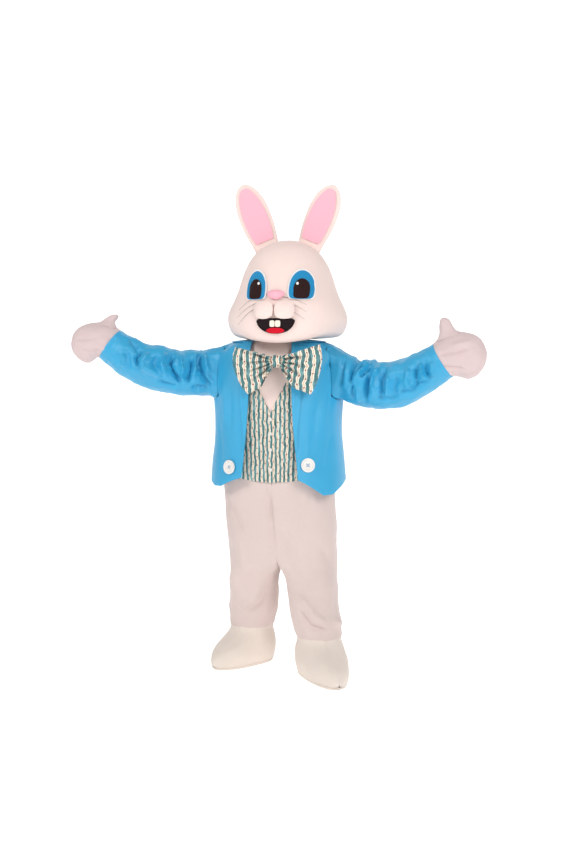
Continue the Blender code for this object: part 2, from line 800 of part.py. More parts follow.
# Sleeves: one row for each station from the armhole to the cuff
SLEEVES = {
    1: Table(
        "share x y z wide tall",
        (0.00, 0.245, -0.010, 1.205, 0.098, 0.098),
        (0.25, 0.345, -0.052, 1.168, 0.094, 0.093),
        (0.50, 0.452, -0.078, 1.154, 0.092, 0.092),
        (0.75, 0.556, -0.098, 1.187, 0.087, 0.088),
        (0.92, 0.640, -0.112, 1.235, 0.079, 0.081),
        (1.00, 0.676, -0.118, 1.257, 0.076, 0.076),
    ),
    -1: Table(
        "share x y z wide tall",
        (0.00, -0.245, -0.008, 1.208, 0.098, 0.098),
        (0.25, -0.350, -0.050, 1.204, 0.094, 0.094),
        (0.50, -0.470, -0.082, 1.218, 0.090, 0.090),
        (0.75, -0.583, -0.103, 1.256, 0.086, 0.086),
        (0.92, -0.656, -0.116, 1.302, 0.078, 0.079),
        (1.00, -0.684, -0.121, 1.323, 0.074, 0.074),
    ),
}
SLEEVE_SHARES = (0.10, 0.175, 0.25, 0.325, 0.40, 0.475, 0.55, 0.625, 0.70, 0.785, 0.87)
SLEEVE_FOLDS = {
    1: (
        (0.06, 0.16, 0.10, 0.022, 0.011, 0.55),
        (0.12, 0.05, 0.09, 0.020, 0.010, 0.70),
        (0.19, 0.12, 0.10, 0.022, -0.009, 0.55),
        (0.24, 0.00, 0.09, 0.022, 0.010, 0.45),
        (0.31, 0.10, 0.10, 0.022, 0.011, -0.40),
        (0.37, 0.02, 0.09, 0.020, -0.008, -0.35),
        (0.28, 0.28, 0.10, 0.024, 0.009, 0.35),
        (0.14, 0.30, 0.10, 0.024, 0.009, -0.45),
    ),
    -1: (
        (0.07, 0.14, 0.10, 0.022, 0.011, -0.55),
        (0.13, 0.06, 0.09, 0.020, 0.010, -0.65),
        (0.20, 0.13, 0.10, 0.022, -0.009, -0.50),
        (0.26, 0.02, 0.09, 0.022, 0.010, -0.45),
        (0.33, 0.10, 0.10, 0.022, 0.011, 0.40),
        (0.39, 0.03, 0.09, 0.020, -0.008, 0.35),
        (0.29, 0.29, 0.10, 0.024, 0.009, -0.35),
        (0.15, 0.31, 0.10, 0.024, 0.009, 0.45),
    ),
}


def sleeve_station(side, share):
    row = SLEEVES[side].at(share)
    ahead, behind = SLEEVES[side].at(min(share + 0.02, 1.0)), SLEEVES[side].at(max(share - 0.02, 0.0))
    direction = Vector((ahead.x - behind.x, ahead.y - behind.y, ahead.z - behind.z)).normalized()
    direction = Vector((side, 0, 0)).lerp(direction, ease(share / 0.4)).normalized()
    return SimpleNamespace(
        center=Vector((row.x, row.y, row.z)), direction=direction, wide=row.wide, tall=row.tall
    )


def cuff_ring(side, before, radius, angles):
    """A ring of the straight cuff, some way before its end."""
    cuff = sleeve_station(side, 1.0)
    return tube_ring(cuff.center - cuff.direction * before, cuff.direction, radius, radius, angles)


def sew_sleeve(cloth, side, name, loop):
    """Joins a sleeve to an armhole and returns the angles of its cuff points."""
    first = sleeve_station(side, SLEEVE_SHARES[0])
    points = [cloth.points[index] for index in loop]
    own = loop_angles(points, first.center, first.direction, first.wide, first.tall)
    last = loop
    travelled = 0.0
    spot = sleeve_station(side, 0.0).center
    for number, share in enumerate(SLEEVE_SHARES):
        station = sleeve_station(side, share)
        travelled += (station.center - spot).length
        spot = station.center
        angles = evened(own, ease((number + 1) / 4))
        ring = tube_ring(station.center, station.direction, station.wide, station.tall, angles)
        fade = ease(number / 2) * ease((len(SLEEVE_SHARES) - number) / 3)
        lifted = []
        for point, angle in zip(ring, angles):
            around = ((angle + math.pi / 2) % (2 * math.pi) - math.pi) * 0.09
            lift = fold_height(SLEEVE_FOLDS[side], travelled, abs(around)) * fade
            lifted.append(point + (point - station.center).normalized() * lift)
        ring = cloth.row(lifted)
        cloth.join(last, ring, name, closed=True)
        last = ring
    angles = evened(own, 1.0)
    radius = SLEEVES[side].at(1.0).wide
    cuff = sleeve_station(side, 1.0)
    for before in (SLEEVE_CUFF_LENGTH, 0.0):
        ring = cloth.row(cuff_ring(side, before, radius, angles))
        center = cuff.center - cuff.direction * before
        for index in ring:
            cloth.directions[index] = (center - cloth.points[index]).normalized()
        cloth.join(last, ring, name, closed=True)
        last = ring
    return angles


def build_jacket():
    """Jacket: two fronts, a back and two sleeves. Returns the surface, its rows and the cuff angles."""
    cloth = Cloth(JACKET_WALL)
    rows = []
    columns = jacket_angles(JACKET_HEM_LEVEL)
    hem = []
    for angle in columns:
        side = 1 if angle <= math.pi else -1
        signed = angle if side == 1 else 2 * math.pi - angle
        height = HEMS[side].at(math.degrees(signed)).height
        hem.append(jacket_point(level_of(height), angle))
    rows.append(cloth.row(hem))
    for level in JACKET_LEVELS:
        rows.append(cloth.row([jacket_point(level, angle) for angle in jacket_angles(level)]))
    count = len(columns)
    side_column = 4 + ARMHOLE_HALF_COLUMNS
    bottom = 1 + JACKET_LEVELS.index(ARMHOLE_BOTTOM)
    top = 1 + JACKET_LEVELS.index(ARMHOLE_TOP)
    left_block = (side_column - ARMHOLE_HALF_COLUMNS, side_column + ARMHOLE_HALF_COLUMNS)
    right_block = (count - 1 - left_block[1], count - 1 - left_block[0])
    for start, end in (left_block, right_block):
        middle = sum((cloth.points[rows[row][column]] for row in (bottom, top) for column in (start, end)),
                     Vector()) / 4
        for row in (bottom, top):
            for column in (start, end):
                index = rows[row][column]
                cloth.points[index] = cloth.points[index].lerp(middle, ARMHOLE_ROUNDING)

    def body_piece(row):
        def name(column):
            in_hole = any(start <= column < end for start, end in (left_block, right_block))
            if bottom <= row < top and in_hole:
                return None
            if column < side_column:
                return "jacket_front_left"
            return "jacket_front_right" if column >= count - 1 - side_column else "jacket_back"
        return name

    for row in range(len(rows) - 1):
        cloth.join(rows[row], rows[row + 1], body_piece(row))
    cuffs = {}
    for side, name, block in ((1, "sleeve_left", left_block), (-1, "sleeve_right", right_block)):
        loop = block_edge(rows, bottom, top, *block)
        cuffs[side] = sew_sleeve(cloth, side, name, loop)
    cloth.sew({name: "jacket_satin" for name in (
        "jacket_front_left", "jacket_front_right", "jacket_back", "sleeve_left", "sleeve_right")})
    return cloth, rows, cuffs


def raised_strip(base, rows, name, finish, wall, gap):
    """A strip that lies on a cloth: the cloth's own points, moved out."""
    strip = Cloth(wall)
    normals = base.normals()
    lifted = []
    for row in rows:
        indices = []
        for index in row:
            added = strip.add(base.points[index] + normals[index] * (gap + wall))
            strip.directions[added] = -normals[index]
            indices.append(added)
        lifted.append(indices)
    for lower, upper in zip(lifted, lifted[1:]):
        strip.join(lower, upper, name)
    strip.sew({name: finish})


def build_jacket_trim(jacket, rows):
    """Lapels along the front edges, the collar round the neck, and a large button on each front."""
    lapel_rows = [row for row in rows if jacket.points[row[0]].z > 0.85]
    collar_start = len(lapel_rows) - 3
    lapels = lapel_rows[:collar_start + 1]
    raised_strip(jacket, [row[:2] for row in lapels], "lapel_left", "jacket_satin", TRIM_WALL, SEAM)
    raised_strip(jacket, [row[-2:] for row in lapels], "lapel_right", "jacket_satin", TRIM_WALL, SEAM)
    collar = Cloth(TRIM_WALL)
    normals = jacket.normals()
    collar_rows = []
    for number, row in enumerate(lapel_rows[collar_start:]):
        indices = []
        for index in row:
            normal = normals[index]
            point = jacket.points[index] + normal * (SEAM + TRIM_WALL)
            if number == 0:
                upper = jacket.points[rows[-1][row.index(index)]]
                point += (upper - jacket.points[index]).normalized() * SEAM
            added = collar.add(point)
            collar.directions[added] = -normal
            indices.append(added)
        collar_rows.append(indices)
    for lower, upper in zip(collar_rows, collar_rows[1:]):
        collar.join(lower, upper, "collar")
    collar.sew({"collar": "jacket_satin"})
    profile = ((0.90, 0.0), (1.0, 0.0016), (1.0, 0.0034), (0.90, 0.0050), (0.66, 0.0050),
               (0.58, 0.0034), (0.50, 0.0050))
    for name, x, z in (("left", 0.152, 0.842), ("right", -0.168, 0.828)):
        button(f"jacket_button_{name}", "button_plastic", jacket, (x, -0.6, z), (0, 1, 0),
               JACKET_BUTTON_RADIUS, profile, 16)


# Mitts: one row for each section from the cuff to the tip, as a share of the mitt's length
MITT_LENGTHS = {1: 0.172, -1: 0.166}
MITT_FULLNESS = {1: 1.10, -1: 1.0}
MITT_SEAT = 0.022
MITT_RISES = {1: 0.20, -1: 0.02}
MITT = Table(
    "share wide tall",
    (0.00, 0.071, 0.071),
    (0.10, 0.066, 0.074),
    (0.24, 0.062, 0.081),
    (0.48, 0.060, 0.087),
    (0.70, 0.054, 0.078),
    (0.86, 0.040, 0.056),
    (0.955, 0.020, 0.028),
)
THUMB_LEANS = {1: 0.22, -1: 0.70}
THUMB_COLUMNS = 4
THUMB_FIRST_ROW, THUMB_LAST_ROW = 2, 4
THUMB = Table("share radius", (0.34, 0.027), (0.68, 0.025), (0.92, 0.017))
THUMB_LENGTHS = {1: 0.082, -1: 0.066}


def build_mitt(side, name, angles):
    """A mitt seated in the cuff: a hollow body and a hollow thumb that points up."""
    cloth = Cloth(PLUSH_WALL)
    cuff = sleeve_station(side, 1.0)
    seat = SLEEVES[side].at(1.0).wide - JACKET_WALL - SEAM * 1.5
    rows = []
    for before in (MITT_SEAT, 0.0):
        ring = cloth.row(cuff_ring(side, before, seat, angles))
        center = cuff.center - cuff.direction * before
        for index in ring:
            cloth.directions[index] = (center - cloth.points[index]).normalized()
        rows.append(ring)
    level = Vector((cuff.direction.x, cuff.direction.y, 0)).normalized()
    ahead = Vector((level.x, level.y, MITT_RISES[side])).normalized()
    length = MITT_LENGTHS[side]
    for row in MITT.rows[1:]:
        shape = MITT.at(row[0])
        direction = cuff.direction.lerp(ahead, ease(shape.share / 0.54)).normalized()
        center = cuff.center + direction * length * shape.share
        tall = shape.tall * MITT_FULLNESS[side]
        rows.append(cloth.row(tube_ring(center, direction, shape.wide, tall, angles)))
    tip = cloth.add(cuff.center + ahead * length)
    count = len(angles)
    top = max(range(count), key=lambda spot: math.sin(angles[spot]))
    start = (top - THUMB_COLUMNS // 2) % count
    thumb_columns = {(start + offset) % count for offset in range(THUMB_COLUMNS)}

    def body_piece(row):
        def piece(column):
            in_hole = THUMB_FIRST_ROW <= row < THUMB_LAST_ROW and column in thumb_columns
            return None if in_hole else f"mitt_{name}"
        return piece

    for row in range(len(rows) - 1):
        cloth.join(rows[row], rows[row + 1], body_piece(row), closed=True)
    cloth.close(rows[-1], tip, f"mitt_{name}")
    picked = [[row[(start + offset) % count] for offset in range(THUMB_COLUMNS + 1)]
              for row in rows[THUMB_FIRST_ROW:THUMB_LAST_ROW + 1]]
    last = block_edge(picked, 0, THUMB_LAST_ROW - THUMB_FIRST_ROW, 0, THUMB_COLUMNS)
    points = [cloth.points[index] for index in last]
    base = sum(points, Vector()) / len(points)
    out = (Vector((0, 0, 1)) - cuff.direction * THUMB_LEANS[side]).normalized()
    other = out.cross(level)
    for share, radius in THUMB.rows:
        ring = []
        for point in points:
            arm = point - base
            angle = math.atan2(arm.dot(other), arm.dot(level))
            spoke = level * math.cos(angle) + other * math.sin(angle)
            ring.append(base + out * THUMB_LENGTHS[side] * share + spoke * radius)
        ring = cloth.row(ring)
        cloth.join(last, ring, f"mitt_thumb_{name}", closed=True)
        last = ring
    cloth.close(last, cloth.add(base + out * THUMB_LENGTHS[side]), f"mitt_thumb_{name}")
    cloth.sew({f"mitt_{name}": "mitt_plush", f"mitt_thumb_{name}": "mitt_plush"})


# Waistcoat: how far each level's front edge lies from the centre, above the neck's V
VEST_V_HEIGHT = 1.050
VEST_V_SLOPE = 0.52
VEST_COLUMNS = 5
VEST_HEM_RISE = 0.020
VEST_LEVELS = (1.25, 2.8, 4.0, 4.37, 5.0, 6.3, 7.7)
VEST_HEM_HEIGHT = 0.768
PLACKET_HALF_WIDTH = 0.016
VEST_BUTTON_HEIGHTS = (0.820, 0.900, 0.965, 1.022)


def vest_point(level, angle, out):
    return torso_point(level, angle) + torso_normal(level, angle) * out


def build_vest():
    """Waistcoat fronts that lie on the suit, the placket on their edges, and its buttons."""
    out = REST_GAP + VEST_WALL
    cloth = Cloth(VEST_WALL)
    halves = {}
    for side, name in ((1, "vest_left"), (-1, "vest_right")):
        rows = []
        for level in (level_of(VEST_HEM_HEIGHT),) + VEST_LEVELS:
            height = TORSO.at(level).height
            edge = SEAM / 2 + max(0.0, (height - VEST_V_HEIGHT) * VEST_V_SLOPE)
            row = TORSO.at(level)
            start = math.asin((edge / row.half_width) ** (row.square / 2))
            inner = math.asin((max(edge, PLACKET_HALF_WIDTH * 0.98) / row.half_width) ** (row.square / 2))
            stops = [start, max(inner, start + 0.012)]
            for angle in quarter_angles()[1:VEST_COLUMNS]:
                stops.append(max(angle, stops[-1] + 0.02))
            points = []
            for stop in stops:
                shape = level
                if level < 1.2:
                    rise = VEST_HEM_RISE * ease(stop)
                    shape = level_of(VEST_HEM_HEIGHT + rise)
                points.append(vest_point(shape, side * stop, out))
            indices = cloth.row(points)
            for index, stop in zip(indices, stops):
                cloth.directions[index] = -torso_normal(level, side * stop)
            rows.append(indices if side == 1 else indices[::-1])
        for lower, upper in zip(rows, rows[1:]):
            cloth.join(lower, upper, name)
        halves[side] = rows
    cloth.sew({"vest_left": "striped_satin", "vest_right": "striped_satin"})
    placket = Cloth(TRIM_WALL)
    strips = []
    for number, left in enumerate(halves[1]):
        right = halves[-1][number]
        if cloth.points[left[0]].z > VEST_V_HEIGHT + 0.005:
            continue
        indices = []
        for index in (right[-2], right[-1], left[0], left[1]):
            outward = -cloth.directions[index]
            added = placket.add(cloth.points[index] + outward * (REST_GAP + TRIM_WALL))
            placket.directions[added] = -outward
            indices.append(added)
        strips.append([indices[0], indices[1], indices[3]])
    for lower, upper in zip(strips, strips[1:]):
        placket.join(lower, upper, "placket")
    placket.sew({"placket": "striped_satin"})
    profile = ((0.8, 0.0), (1.0, 0.0012), (0.86, 0.0030), (0.55, 0.0034))
    for number, height in enumerate(VEST_BUTTON_HEIGHTS):
        button(f"vest_button_{number + 1}", "button_plastic", placket, (0.0, -0.6, height), (0, 1, 0),
               VEST_BUTTON_RADIUS, profile, 10)


# Bow tie: one row for each direction of a loop from the knot, from its top edge to its lower edge
BOW_CENTER = Vector((0.030, 0.0, 1.252))
KNOT_HALF_WIDTH = 0.017
KNOT_HALF_HEIGHT = 0.024
KNOT_DEPTH = 0.030
KNOT_BULGE = 0.003
KNOT_BACK = -0.186
KNOT_PROFILE = (
    (-1.0, 0.0), (-0.92, 0.55), (-0.55, 0.90), (0.0, 1.0), (0.55, 0.90), (0.92, 0.55), (1.0, 0.0),
)
BOW_WALL = 0.002
BOW_SHAPES = {
    1: Table(
        "spread out up",
        (0.00, 0.172, 0.066), (0.28, 0.181, 0.026), (0.52, 0.179, -0.024),
        (0.76, 0.161, -0.086), (0.90, 0.140, -0.130), (1.00, 0.076, -0.104),
    ),
    -1: Table(
        "spread out up",
        (0.00, 0.168, 0.056), (0.28, 0.180, 0.016), (0.52, 0.170, -0.036),
        (0.76, 0.142, -0.094), (0.90, 0.114, -0.130), (1.00, 0.062, -0.106),
    ),
}
BOW_REACHES = (0.0, 0.16, 0.36, 0.60, 0.82, 0.95)
BOW_COLUMNS = 10
BOW_PLEAT_DEPTH = 0.0045


def bow_depth(height):
    """Where the back of the loops lies, leaning out over the jacket below the knot."""
    return -0.178 + 0.14 * (height - BOW_CENTER.z)


def build_bow():
    """Bow tie: each loop is one strip that runs out along the front, folds and comes back behind."""
    for side, name in ((1, "bow_left"), (-1, "bow_right")):
        cloth = Cloth(BOW_WALL)
        strips = []
        path = [(reach, 1) for reach in BOW_REACHES] + [(1.0, 0)] + \
               [(reach, -1) for reach in reversed(BOW_REACHES)]
        for reach, layer in path:
            row = []
            for column in range(BOW_COLUMNS + 1):
                spread = column / BOW_COLUMNS
                tip = BOW_SHAPES[side].at(spread)
                root = KNOT_HALF_HEIGHT * 0.72 * (1 - 2 * spread)
                start = Vector((side * (KNOT_HALF_WIDTH + SEAM), 0, root))
                point = start.lerp(Vector((side * tip.out, 0, tip.up)), reach)
                point += Vector((BOW_CENTER.x, 0, BOW_CENTER.z))
                fullness = math.sin(math.pi * min(reach, 1.0) ** 0.75) * 0.016 + 0.0065
                pitch = mix(1.44 * KNOT_HALF_HEIGHT, 0.200, reach) / BOW_COLUMNS
                pleat = min(BOW_PLEAT_DEPTH, 0.28 * pitch) * (1 if column % 2 else -1)
                pleat *= ease(1 - (reach - 0.36) / 0.5)
                back = bow_depth(point.z) - 0.004
                if layer == 1:
                    point.y = back - 0.012 - fullness * 1.3 + pleat
                elif layer == 0:
                    point.y = back - 0.012
                else:
                    point.y = back - 0.006 + fullness * 0.25 + pleat * 0.4
                row.append(point)
            if side == -1:
                row.reverse()
            strips.append(cloth.row(row))
        for near, far in zip(strips, strips[1:]):
            cloth.join(far, near, name)
        normals = cloth.normals()
        for strip in (strips[0], strips[-1]):
            for index in strip:
                normal = normals[index]
                cloth.directions[index] = -Vector((0, normal.y, normal.z)).normalized()
        cloth.sew({name: "striped_satin"})


def build_knot(suit):
    """The knot: a band round the loops' roots whose back rests on the neck of the suit."""
    rings = []
    vertices = []
    for across in (-1.0, -0.55, 0.0, 0.55, 1.0):
        x = BOW_CENTER.x + across * KNOT_HALF_WIDTH
        bulge = KNOT_BULGE * (1 - across * across)
        ring = []
        for up, front in KNOT_PROFILE:
            z = BOW_CENTER.z + up * (KNOT_HALF_HEIGHT + bulge)
            ring.append(Vector((x, KNOT_BACK - front * (KNOT_DEPTH + bulge), z)))
        for up in (0.9, 0.3, -0.3, -0.9):
            z = BOW_CENTER.z + up * KNOT_HALF_HEIGHT
            place, _ = suit.meets((x, -0.6, z), (0, 1, 0))
            ring.append(Vector((x, place.y - REST_GAP, z)))
        rings.append(ring)
    count = len(rings[0])
    for ring in rings:
        vertices += ring
    faces = []
    for band in range(len(rings) - 1):
        for spot in range(count):
            after = (spot + 1) % count
            a, b = band * count + spot, band * count + after
            faces += [(b + count, b, a), (a + count, b + count, a)]
    for first, flip in ((0, False), ((len(rings) - 1) * count, True)):
        middle = len(vertices)
        vertices.append(sum(vertices[first:first + count], Vector()) / count)
        for spot in range(count):
            face = (first + spot, first + (spot + 1) % count, middle)
            faces.append(tuple(reversed(face)) if flip else face)
    solid("bow_knot", "striped_satin", vertices, faces)


# Head: one row for each level section, about the head's own axis
HEAD = Table(
    "height half_width front back square",
    (1.359, 0.188, 0.176, 0.170, 2.0),
    (1.368, 0.220, 0.212, 0.196, 2.0),
    (1.390, 0.238, 0.230, 0.208, 2.0),
    (1.430, 0.250, 0.240, 0.215, 2.0),
    (1.470, 0.241, 0.240, 0.216, 2.0),
    (1.510, 0.217, 0.228, 0.213, 2.0),
    (1.560, 0.197, 0.209, 0.206, 2.0),
    (1.610, 0.184, 0.192, 0.195, 2.0),
    (1.660, 0.163, 0.167, 0.174, 2.0),
    (1.700, 0.135, 0.137, 0.144, 2.0),
    (1.730, 0.101, 0.102, 0.107, 2.0),
    (1.749, 0.054, 0.055, 0.057, 2.0),
)
CROWN_HEIGHT = 1.757
JAW_DROP = 0.034
HEAD_ROWS = (1.359, 1.368, 1.390, 1.430, 1.470, 1.510, 1.555, 1.605, 1.655, 1.697, 1.729, 1.749)


def head_place(point):
    """A point of the head, moved from the head's own axis to its place."""
    return point + HEAD_CENTER


def jaw_drop(point):
    """How far the jaw hangs down in front of the neck."""
    ahead = ease((-point.y - 0.125) / 0.085)
    return JAW_DROP * ahead * ease((1.56 - point.z) / 0.16)


def build_head():
    """Head: a face half and a back half, open at the neck."""
    cloth = Cloth(HEAD_WALL)
    angles = round_angles()
    count = len(angles)
    quarter = QUARTER_COLUMNS
    radius = HEAD_OPENING_RADIUS
    rim = [section(radius, radius, radius, angle, 2.0) + Vector((0, 0, HEAD_RIM_HEIGHT)) for angle in angles]
    rows = [cloth.row(rim)]
    for index in rows[0]:
        cloth.directions[index] = Vector((0, 0, 1))
    for height in HEAD_ROWS:
        row = HEAD.at(height)
        ring = []
        for angle in angles:
            point = section(row.half_width, row.front, row.back, angle, row.square)
            point.z = height
            point.z -= jaw_drop(point)
            ring.append(head_place(point))
        rows.append(cloth.row(ring))

    def half_piece(column):
        return "head_face" if column < quarter or column >= count - quarter else "head_back"

    for lower, upper in zip(rows, rows[1:]):
        cloth.join(lower, upper, half_piece, closed=True)
    crown = cloth.add(head_place(Vector((0, 0, CROWN_HEIGHT))))
    cloth.close(rows[-1], crown, half_piece)
    cloth.sew({"head_face": "plush", "head_back": "plush"})
    return cloth


def on_face(head, center_x, center_z):
    """Gives places on the front of the head, by the distance across and up from a centre."""
    def base(across, up):
        origin = head_place(Vector((center_x + across, -0.6, center_z + up)))
        return head.meets(origin, (0, 1, 0))
    return base


def oval(half_width, half_height, square=2.0):
    def outline(angle):
        side, up = math.cos(angle), math.sin(angle)
        power = 2.0 / square
        return (half_width * math.copysign(abs(side) ** power, side),
                half_height * math.copysign(abs(up) ** power, up))
    return outline


def arch(half_width, top, bottom):
    """An eye's outline: round above, with a nearly straight lower edge."""
    def outline(angle):
        side, up = math.cos(angle), math.sin(angle)
        if up >= 0:
            return half_width * side, top * up
        power = 2.0 / EYE_FLATNESS
        return half_width * math.copysign(abs(side) ** power, side), -bottom * abs(up) ** power
    return outline


EYE_X, EYE_HEIGHT = 0.088, 1.545
EYE_WIDTHS = {1: 1.0, -1: 0.88}
NOSE_X, MUZZLE_X, MOUTH_X = -0.006, -0.011, -0.005
EYE_FELT = 0.002
EYE_FLATNESS = 5.0
EYE_STEPS = 16
EYE_LAYERS = (
    ("eye_white", "white_felt", 0.051, 0.080, 0.0440, 0.0),
    ("eye_blue", "blue_felt", 0.0455, 0.072, 0.0425, 0.0),
    ("eye_pupil", "dark_mesh", 0.029, 0.038, 0.0412, 0.002),
)


def wedge(angle):
    """A nose outline: broad above and narrower below."""
    side, up = math.cos(angle), math.sin(angle)
    return 0.0345 * side * (1 + 0.25 * up), 0.0200 * up


def smile(angle):
    """A mouth outline: nearly straight above, a deep curve below."""
    side, up = math.cos(angle), math.sin(angle)
    return 0.076 * side, (0.010 + 0.012 * side * side) * up if up > 0 else 0.050 * up


def build_features(head):
    """Eyes, nose, muzzle pads, mouth, tongue and teeth, each laid on the head or on each other."""
    skin = BVHTree.FromPolygons(head.points, [corners for corners, _ in head.faces])
    for side, name in ((1, "left"), (-1, "right")):
        base = on_face(head, side * EYE_X, EYE_HEIGHT)
        below = [skin]
        for number, (layer, finish, half_width, top, bottom, crown) in enumerate(EYE_LAYERS):
            outline = arch(half_width * EYE_WIDTHS[side], top, bottom)
            below.append(disc(f"{layer}_{name}", finish, base, outline, below,
                              EYE_FELT, EYE_STEPS, crown=crown,
                              lift=REST_GAP + number * (EYE_FELT + SEAM)))
    disc("nose", "pink_felt", on_face(head, NOSE_X, 1.5200), wedge, [skin], 0.0050,
         shares=(1.0, 0.75, 0.4), crown=0.018)
    mouth = disc("mouth", "dark_mesh", on_face(head, MOUTH_X, 1.420), smile, [skin], 0.0018, steps=14)
    for side, name in ((1, "left"), (-1, "right")):
        disc(f"muzzle_{name}", "plush", on_face(head, MUZZLE_X + side * 0.0405, 1.4620), oval(0.0398, 0.036, 2.8),
             [skin, mouth], 0.0040, shares=(1.0, 0.82, 0.45), crown=0.014)
    disc("tongue", "red_felt", on_face(head, MOUTH_X, 1.3840), oval(0.035, 0.0110, 2.2), [skin, mouth], 0.0030,
         crown=0.003, lift=0.0025)
    for side, name in ((1, "left"), (-1, "right")):
        disc(f"tooth_{name}", "tooth_felt", on_face(head, MOUTH_X + side * 0.0106, 1.4095), oval(0.0100, 0.0122, 5.0),
             [skin, mouth], 0.0045, shares=(1.0, 0.7), lift=0.0025)


# Ears: one row for each section from the base to the tip
EAR = Table(
    "share half_width half_depth",
    (0.00, 0.046, 0.020),
    (0.15, 0.055, 0.018),
    (0.35, 0.065, 0.016),
    (0.60, 0.068, 0.014),
    (0.80, 0.057, 0.012),
    (0.93, 0.034, 0.009),
    (1.00, 0.010, 0.004),
)
EAR_SHARES = (0.08, 0.14, 0.28, 0.44, 0.60, 0.75, 0.87, 0.95)
EAR_LINING = Table(
    "share half_width",
    (0.16, 0.037), (0.30, 0.047), (0.55, 0.050), (0.75, 0.040), (0.86, 0.026), (0.915, 0.012),
)
EAR_LINING_SHARES = (0.16, 0.26, 0.38, 0.52, 0.66, 0.78, 0.87, 0.915)
EAR_LINING_COLUMNS = 4
EAR_BASE_X = {1: 0.077, -1: 0.076}
EAR_TIP_X = {1: 0.191, -1: 0.190}
EAR_LENGTHS = {1: 0.294, -1: 0.308}
EAR_COLUMNS = 14


def ear_axes(side):
    base = head_place(Vector((side * EAR_BASE_X[side], 0.004, 1.706)))
    tip = head_place(Vector((side * EAR_TIP_X[side], 0.012, 1.978)))
    along = (tip - base).normalized()
    front = Vector((-side * 0.12, -1, 0))
    front = (front - along * front.dot(along)).normalized()
    return base, along, front.cross(along), front


def ear_point(side, share, angle, out=0.0):
    """A point of an ear. The front lies at a quarter turn, slightly hollowed."""
    base, along, across, front = ear_axes(side)
    row = EAR.at(share)
    hollow = 0.45 * math.exp(-((math.cos(angle) / 0.55) ** 2)) if math.sin(angle) > 0 else 0.0
    x = (row.half_width + out * 0.3) * math.cos(angle)
    y = row.half_depth * math.sin(angle) * (1 - hollow) + out
    return base + along * (EAR_LENGTHS[side] * share) + across * x + front * y


def build_ear(side, name, head):
    """A stuffed ear that stands on the head, and the pink lining on its front."""
    base, along, across, front = ear_axes(side)
    angles = [2 * math.pi * step / EAR_COLUMNS for step in range(EAR_COLUMNS)]
    foot = []
    for angle in angles:
        start = ear_point(side, 0.08, angle)
        place, _ = head.meets(start + along * 0.02, -along)
        foot.append(place)
    center, _ = head.meets(base + along * 0.08, -along)
    vertices = [center]
    rings = [foot]
    for share in EAR_SHARES[1:]:
        rings.append([ear_point(side, share, angle) for angle in angles])
    for ring in rings:
        vertices += ring
    vertices.append(base + along * EAR_LENGTHS[side])
    foot_count = EAR_COLUMNS + 1
    moves = [along] * foot_count + [Vector()] * (len(vertices) - foot_count)
    faces = []
    count = EAR_COLUMNS
    for spot in range(count):
        after = (spot + 1) % count
        faces.append((1 + after, 1 + spot, 0))
        for level in range(len(rings) - 1):
            a, b = 1 + level * count + spot, 1 + level * count + after
            faces += [(a, b, b + count), (a, b + count, a + count)]
        last = 1 + (len(rings) - 1) * count
        faces.append((last + spot, last + after, len(vertices) - 1))
    skin = BVHTree.FromPolygons(head.points, [corners for corners, _ in head.faces])
    vertices, _ = raised_until_clear(vertices, moves, faces, [skin])
    solid(f"ear_{name}", "plush", vertices, faces)
    ear = BVHTree.FromPolygons(vertices, faces)
    lining = Cloth(TRIM_WALL)
    rows = []
    for share in EAR_LINING_SHARES:
        row = []
        half_width = EAR_LINING.at(share).half_width
        for step in range(EAR_LINING_COLUMNS + 1):
            offset = across * half_width * (1 - 2 * step / EAR_LINING_COLUMNS)
            origin = base + along * (EAR_LENGTHS[side] * share) + offset + front * 0.1
            place, _, _, _ = ear.ray_cast(origin, -front)
            row.append(lining.add(place))
        rows.append(row)
    for lower, upper in zip(rows, rows[1:]):
        lining.join(lower, upper, f"ear_lining_{name}")
    flat = [corners for corners, _ in lining.faces]
    moves = [front] * len(lining.points)
    lining.points, _ = raised_until_clear(lining.points, moves, flat, [ear])
    lining.points = [point + front * TRIM_WALL for point in lining.points]
    for index in range(len(lining.points)):
        lining.directions[index] = -front
    lining.sew({f"ear_lining_{name}": "pink_felt"})


for old in list(bpy.data.objects):
    bpy.data.objects.remove(old, do_unlink=True)
holder = bpy.data.objects.new("wearer", None)
holder.location = (0.0, 0.0, -HOLD_HEIGHT)
bpy.context.collection.objects.link(holder)

suit_cloth = build_suit()
for foot_side, foot_name in ((1, "left"), (-1, "right")):
    build_boot(foot_side, foot_name)
jacket_cloth, jacket_rows, cuff_angles = build_jacket()
build_jacket_trim(jacket_cloth, jacket_rows)
for hand_side, hand_name in ((1, "left"), (-1, "right")):
    build_mitt(hand_side, hand_name, cuff_angles[hand_side])
build_vest()
build_bow()
build_knot(suit_cloth)
head_cloth = build_head()
build_features(head_cloth)
for ear_side, ear_name in ((1, "left"), (-1, "right")):
    build_ear(ear_side, ear_name, head_cloth)
bpy.context.view_layer.update()
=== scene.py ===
# %% [markdown]
# # Rabbit mascot costume
# The costume hangs open as if someone wore it: a plush head, suit, mitts and boot covers, a satin jacket,
# a striped waistcoat and a large bow tie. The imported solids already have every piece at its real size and
# place, with flat facets and a cloth's thickness. This lesson turns each into sewn cloth.
# The solids come in first, and their box is kept, because cloth may stand only a little outside it.

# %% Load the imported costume
import math

import bmesh
import bpy
import numpy as np
from mathutils import Matrix, Vector, noise
from mathutils.bvhtree import BVHTree
from mathutils.kdtree import KDTree


